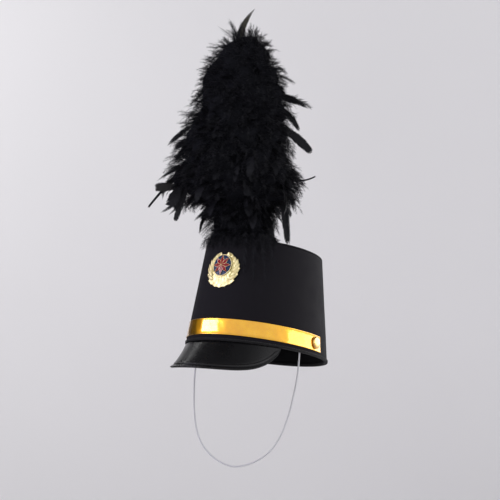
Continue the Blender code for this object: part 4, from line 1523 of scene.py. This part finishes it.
# The fringe: how many, from where to where round the crown, how far in from its edge and above it
FRINGE_COUNT, FRINGE_SPREAD = 160, (math.radians(-36.0), math.radians(48.0))
FRINGE_INSET, FRINGE_RISE = (0.001, 0.008), (0.003, 0.010)
# The fringe's tones are kept at the dark end: partly the down's own black, partly painted shade of the plume
# on the crown's front
FRINGE_LENGTH, FRINGE_WIDTH, FRINGE_TONE_AND_SHADE, FRINGE_SWAY = (0.016, 0.026), (0.005, 0.008), (0.0, 0.3), 0.25
FRINGE_LIFTS = (
    # middle and spread (degrees), at the root and at the tip
    (-30.0, 10.0),
    (-96.0, 8.0),
)
CORE_ROWS, CORE_COLUMNS = 60, 72
CORE_FOOT, CORE_HEAD, CORE_SHARE, CORE_INSET, CORE_SMALLEST = 0.003, 0.408, 0.92, 0.004, 0.003
PLUME_SEED = 7


def plume_at(height, turn):
    """How far forward the plume's middle is at a height, and its reach at an angle round it."""
    table = np.array(PLUME_OUTLINE)
    forward, right, left = (np.interp(height, table[:, 0], table[:, column]) for column in (1, 2, 3))
    return forward, (left + right) / 2 + (left - right) / 2 * math.cos(turn - PLUME_LEAN)


def clear_of_crown(place):
    """Lifts a feather's point off the crown's top. Beyond the edge it can hang down."""
    x, y = place[0] / (TOP_HALF_WIDTH + TOP_BEYOND), (place[1] + TOP_FORWARD) / (TOP_HALF_DEPTH + TOP_BEYOND)
    if math.hypot(x, y) < 1.0:
        return np.array([place[0], place[1], max(place[2], CROWN_HEIGHT + TOP_CLEAR)])
    return place


def lifts_at(height):
    """A feather's lifts at its root and its tip, from how high it leaves the plume."""
    table = np.array(FEATHER_LIFTS)
    return [math.radians(np.interp(height, table[:, 0], table[:, column])) for column in (1, 2)]


def barb_lengths(kind, wide, t):
    """How long the barbs are at shares t of the way from a shaft's root to its tip."""
    if kind == "blade":
        return wide * 1.35 * np.clip(np.minimum(0.35 + 2.2 * t, 1.0) * (1.02 - t**4), 0.05, 1.0)
    if kind == "paddle":
        return wide * 1.8 * np.minimum(0.45 + 1.6 * t, 1.0) * (1.0 - 0.35 * t**2 - 0.5 * t**9)
    if kind == "sickle":
        return wide * 1.7 * np.clip(np.minimum(0.7 + 2.0 * t, 1.0) * (1.0 - t) ** 0.7, 0.06, 1.0)
    if kind == "quill":
        return wide * (0.4 + 0.6 * t**2)
    return wide * 1.15 * (0.62 + 0.38 * np.sin(math.pi * t)) * (1.0 - 0.35 * t)


def lay_feather(feathers, points, sides, kind, wide, tone):
    """Adds a feather along points, with barbs towards its sides. A quill is as thick as it is wide."""
    t = np.linspace(0.0, 1.0, len(points))
    thick, taper = (wide, QUILL_TAPER) if kind == "quill" else SHAFTS[kind]
    feathers.lay(
        points,
        barb=barb_lengths(kind, wide, t),
        shaft=thick * (1.0 - taper * t),
        tone=[tone] * len(points),
        side=sides,
    )


def bending_feather(root, turn, lifts, length, sway, roll):
    """Points and sideways directions of a feather that leaves its root at an angle and bends over. Its
    points are kept off the crown's top."""
    place = np.array(root, float)
    points, sides = [], []
    for t in steps_between(0.0, 1.0, FEATHER_STEPS):
        lift = lifts[0] + (lifts[1] - lifts[0]) * t
        angle = turn + sway * t * t
        out = np.array([math.sin(angle), -math.cos(angle), 0.0])
        level = np.array([math.cos(angle), math.sin(angle), 0.0])
        ahead = out * math.cos(lift) + np.array([0.0, 0.0, math.sin(lift)])
        above = np.cross(level, ahead)
        points.append(clear_of_crown(place))
        sides.append(level * math.cos(roll) + above * math.sin(roll))
        place = place + ahead * length / FEATHER_STEPS
    return points, sides


def lay_body(feathers, kind, number, heights, lengths, widths, over, bent, seed):
    """Feathers all round the plume between two heights, whose tips lie near its outline."""
    draw = np.random.default_rng(seed)
    table = np.array(PLUME_OUTLINE)
    levels = np.linspace(*heights, BODY_LEVELS)
    weight = np.cumsum(np.interp(levels, table[:, 0], table[:, 2]) + BODY_CROWDING)
    for place in range(number):
        height = np.interp((place + 0.5) / number * weight[-1], weight, levels)
        turn = place * GOLDEN_TURN + draw.uniform(-BODY_TURN, BODY_TURN)
        forward, reach = plume_at(height, turn)
        lifts = [lift + math.radians(change) for lift, change in zip(lifts_at(height), bent)]
        lifts = [lift + math.radians(draw.normal(0.0, spread)) for lift, spread in zip(lifts, BODY_LIFTS)]
        length = draw.uniform(*lengths)
        outward = sum(math.cos(lifts[0] + (lifts[1] - lifts[0]) * t) for t in (0.1, 0.3, 0.5, 0.7, 0.9)) / 5
        start = reach + over + draw.normal(0.0, BODY_REACH) - length * max(0.0, outward)
        start = min(max(start, BODY_NEAREST * reach), BODY_FARTHEST * reach)
        root = (
            start * math.sin(turn),
            -forward - start * math.cos(turn),
            height - BODY_SINK * length * math.sin(lifts[0]),
        )
        sway, roll = draw.normal(0.0, BODY_SWAY), draw.normal(0.0, BODY_SWAY)
        points, sides = bending_feather(root, turn, lifts, length, sway, roll)
        lay_feather(feathers, points, sides, kind, draw.uniform(*widths), draw.uniform(0.0, 1.0))


def lay_fringe(feathers):
    """Short down that hangs over the crown's front edge. Its tones are kept dark, partly the down's own black
    and partly painted shade of the plume on the crown's front.
    """
    draw = np.random.default_rng(PLUME_SEED)
    for _ in range(FRINGE_COUNT):
        angle = draw.uniform(*FRINGE_SPREAD)
        outward = outward_at(angle)
        root = crown_point(angle, CROWN_HEIGHT, -draw.uniform(*FRINGE_INSET))
        root.z += draw.uniform(*FRINGE_RISE)
        lifts = [math.radians(draw.normal(*lift)) for lift in FRINGE_LIFTS]
        sway, roll = draw.normal(0.0, FRINGE_SWAY, 2)
        length = draw.uniform(*FRINGE_LENGTH)
        points, sides = bending_feather(root, math.atan2(outward.x, -outward.y), lifts, length, sway, roll)
        wide, tone = draw.uniform(*FRINGE_WIDTH), draw.uniform(*FRINGE_TONE_AND_SHADE)
        lay_feather(feathers, points, sides, "down", wide, tone)


def standing_feathers():
    """The feathers that stand out of the outline, laid in the upright plane that faces the front left."""
    toward, level = (np.array(way) for way in camera_ways())
    upright = np.array([0.0, 0.0, 1.0])
    middle = np.array([0.0, STANDING_MIDDLE, 0.0])
    groups = {"down": Runs(), "blade": Runs()}
    draw = np.random.default_rng(PLUME_SEED)
    for kind, root_across, root_height, tip_across, tip_height, near, bow, wide, tone in STANDING_OUT:
        start, stop = np.array([root_across, root_height]), np.array([tip_across, tip_height])
        run = stop - start
        bulge = (start + stop) / 2 + np.array([-run[1], run[0]]) * bow
        soft = kind in ("down", "wisp")
        for copy in range(DOWN_COPIES if kind == "down" else 1):
            loose = draw.normal(0.0, DOWN_LOOSE, 3) * copy
            points, sides = [], []
            for t in steps_between(0.0, 1.0, STANDING_STEPS):
                flat = start * (1 - t) ** 2 + bulge * 2 * t * (1 - t) + stop * t * t
                slope = (bulge - start) * (1 - t) + (stop - bulge) * t
                slope /= np.linalg.norm(slope)
                place = middle + level * flat[0] + upright * flat[1] + toward * near
                points.append(place + loose * t)
                across = -level * slope[1] + upright * slope[0]
                tilt = draw.normal(0.0, STANDING_TILT) + (DOWN_FAN * (1 - copy) if soft else 0.0)
                sides.append(across * math.cos(tilt) + toward * math.sin(tilt))
            lay_feather(groups["down" if soft else "blade"], points, sides, kind, wide, tone)
    return groups


def plume_core(look):
    """The packed down in the middle, lumpy where feathers leave it."""
    turns = [math.tau * step / CORE_COLUMNS for step in range(CORE_COLUMNS)]
    rows = []
    for height in np.linspace(CROWN_HEIGHT + CORE_FOOT, CORE_HEAD, CORE_ROWS):
        row = []
        for turn in turns:
            forward, reach = plume_at(height, turn)
            lump = 1.0 + 0.07 * math.sin(5 * turn + 90 * height) + 0.06 * math.sin(9 * turn - 140 * height)
            reach = max(CORE_SMALLEST, (reach * CORE_SHARE - CORE_INSET) * lump)
            row.append((reach * math.sin(turn), -forward - reach * math.cos(turn), height))
        rows.append(row)
    mesh = close_ends(grid_mesh("plume_core", rows, closed=True), CORE_COLUMNS)
    piece = link_piece("plume_core", mesh, [look])
    return finish_piece(piece, ["plume"])


def plume():
    """The core, and the feathers in batches that become one mesh each."""
    look = feather_look()
    plume_core(core_look())
    tree = feather_tree()
    soft = barb_kinds(
        "down_barbs",
        0.032,
        ((0.10, 0.20), (0.30, -0.15), (-0.10, 0.35), (0.45, 0.10), (0.20, -0.40), (0.0, 0.05)),
        ((0.0, 1.0), (0.55, 0.9), (1.0, 0.0)),
    )
    close = barb_kinds(
        "blade_barbs",
        0.075,
        ((0.10, 0.02), (0.16, -0.03), (0.12, 0.05), (0.08, -0.02)),
        ((0.0, 1.0), (0.7, 0.9), (1.0, 0.0)),
    )
    manners = {
        "down": {
            "Barbs": soft, "Kinds": len(soft.objects), "Spacing": 0.00105, "Rake": 0.90, "Rake Spread": 0.32,
            "Ruffle": (0.8, 0.3, 0.25), "Ruffle Back": (-0.8, -0.3, -0.25), "Shortest": 0.55,
        },
        "blade": {
            "Barbs": close, "Kinds": len(close.objects), "Spacing": 0.0008, "Rake": 0.80, "Rake Spread": 0.05,
            "Ruffle": (0.12, 0.05, 0.05), "Ruffle Back": (-0.12, -0.05, -0.05), "Shortest": 0.88,
        },
    }
    batches = {}
    for number, (name, kind, *manner) in enumerate(BODY):
        feathers = batches.setdefault(name, (kind, Runs()))[1]
        lay_body(feathers, kind, *manner, PLUME_SEED + number)
    standing = standing_feathers()
    lay_fringe(standing["down"])
    batches["plume_edge_down"] = ("down", standing["down"])
    batches["plume_edge_blades"] = ("blade", standing["blade"])
    for name, (kind, feathers) in batches.items():
        grow_piece(name, feathers, tree, {**manners[kind], "Look": look}, "plume")
    for kinds in (soft, close):
        for barb in list(kinds.objects):
            bpy.data.objects.remove(barb)
        bpy.data.collections.remove(kinds)


# ---------------------------------------------------------------- studio

PAPER_FLOOR, PAPER_HEAD, PAPER_HALF_WIDTH = -0.62, 5.0, 1.5
PAPER_FRONT, PAPER_BEND_FROM, PAPER_BEND, PAPER_BEND_ROWS = 4.0, -1.6, 1.2, 12
DARK_SIDE, DARK_RISE = math.radians(-105.0), 0.2
SKY_COLOUR = (0.97, 0.97, 1.0)
HAT_MIDDLE = (0.0, -0.03, 0.10)
LIGHTS = (
    # name, azimuth from the front towards the wearer's left and elevation (degrees), distance, width and
    # height, power, colour, target
    ("strip light front right", -41.0, 7.8, 1.2, (0.86, 0.20), 5.0, (0.84, 0.77, 1.0), HAT_MIDDLE),
    ("soft box left", 139.0, 18.0, 1.2, (1.8, 0.42), 6.0, (1.0, 0.99, 0.98), HAT_MIDDLE),
    ("paper light", 0.0, 45.0, 2.2, (0.8, 0.8), 7.0, (1.0, 1.0, 1.0), (-2.4, 1.7, 0.1)),
)


def area_light(name, azimuth, elevation, distance, size, power, colour, target):
    """A rectangular light that faces its target."""
    turn, lift = math.radians(azimuth), math.radians(elevation)
    away = Vector((math.sin(turn) * math.cos(lift), -math.cos(turn) * math.cos(lift), math.sin(lift)))
    data = bpy.data.lights.new(name, "AREA")
    data.shape = "RECTANGLE"
    data.size, data.size_y = size
    data.energy = power
    data.color = colour
    lamp = bpy.data.objects.new(name, data)
    lamp.location = Vector(target) + away * distance
    lamp.rotation_mode = "QUATERNION"
    lamp.rotation_quaternion = away.to_track_quat("Z", "Y")
    bpy.context.scene.collection.objects.link(lamp)


def studio_paper():
    """A pale floor that sweeps up into a wall behind the hat, square to the camera."""
    look = Look("studio paper", Roughness=0.9)
    look.colour(look.noise(1.2, detail=2.0), *PAPER_GREY)
    profile = [(PAPER_FRONT, PAPER_FLOOR), (PAPER_BEND_FROM, PAPER_FLOOR)]
    for turn in steps_between(0.0, math.pi / 2, PAPER_BEND_ROWS)[1:]:
        rise = PAPER_BEND * (1 - math.cos(turn))
        profile.append((PAPER_BEND_FROM - PAPER_BEND * math.sin(turn), PAPER_FLOOR + rise))
    profile.append((PAPER_BEND_FROM - PAPER_BEND, PAPER_HEAD))
    toward, level = (Vector(way) for way in camera_ways())
    rows = []
    for reach, height in profile:
        middle = toward * reach + Vector((0.0, 0.0, height))
        rows.append([middle + level * across for across in (-PAPER_HALF_WIDTH, 0.0, PAPER_HALF_WIDTH)])
    paper = grid_piece("studio_paper", rows, [look.material])


def studio_sky():
    """An even sky that darkens overhead and towards the wearer's right."""
    world = bpy.data.worlds.new("studio")
    world.use_nodes = True
    tree = world.node_tree
    sky = tree.nodes.get("Background") or tree.nodes.new("ShaderNodeBackground")
    sky.inputs["Color"].default_value = (*SKY_COLOUR, 1.0)
    direction = add(tree, "ShaderNodeTexCoord").outputs["Generated"]
    shade = Vector((math.sin(DARK_SIDE), -math.cos(DARK_SIDE), DARK_RISE)).normalized()
    toward = add(tree, "ShaderNodeVectorMath", {0: direction, 1: tuple(shade)}, operation="DOT_PRODUCT")
    height = add(tree, "ShaderNodeSeparateXYZ", {0: direction}).outputs["Z"]
    level = span(tree, toward.outputs["Value"], 0.3, 0.9, 0.93, 0.02)
    overhead = span(tree, height, 0.40, 0.88, 1.0, 0.15)
    tree.links.new(math_node(tree, "MULTIPLY", level, overhead), sky.inputs["Strength"])
    bpy.context.scene.world = world


def studio():
    studio_paper()
    studio_sky()
    for light in LIGHTS:
        area_light(*light)
    bpy.context.scene.view_settings.view_transform = "Standard"


# ---------------------------------------------------------------- making


def main():
    camera()
    chin_strap(elastic_look())
    cloth = cloth_look("crown cloth", *CROWN_BLACK, 1500.0, 0.00012)
    lining = cloth_look("lining cloth", *LINING_BLACK, 2400.0, 0.00008)
    tape = ribbed_look()
    crown_wall([cloth, lining])
    crown_top([cloth])
    rim_binding(tape)
    peak(patent_look())
    front_band(foil_look("gilt foil", *FOIL_GILT, 0.30, 55.0, 1.0, coat=1.0))
    gilt = foil_look("button gilt", *BUTTON_GILT, 0.24, 90.0, 0.1, coat=1.0)
    button("gilt_button_left", BUTTON_ANGLE, "button_left", gilt)
    button("gilt_button_right", -BUTTON_ANGLE, "button_right", gilt)
    pale = foil_look("pale gilt", *PALE_GILT, 0.48, 160.0, 0.1)
    wreath(pale)
    blue = enamel_look("blue enamel", *ENAMEL_BLUE, (3000.0, 400.0, 400.0))
    red = enamel_look("red enamel", *ENAMEL_RED, (2500.0, 2500.0, 500.0))
    disc(blue, pale)
    rosette(red, pale)
    strap_tab("tab_fold_left", 1, "strap_tab_left", tape)
    strap_tab("tab_fold_right", -1, "strap_tab_right", tape)
    stitching(thread_look())
    stem = frame["nodes"]["plume_stem"].data.materials
    stem.clear()
    stem.append(plastic_look())
    plume()
    studio()


main()
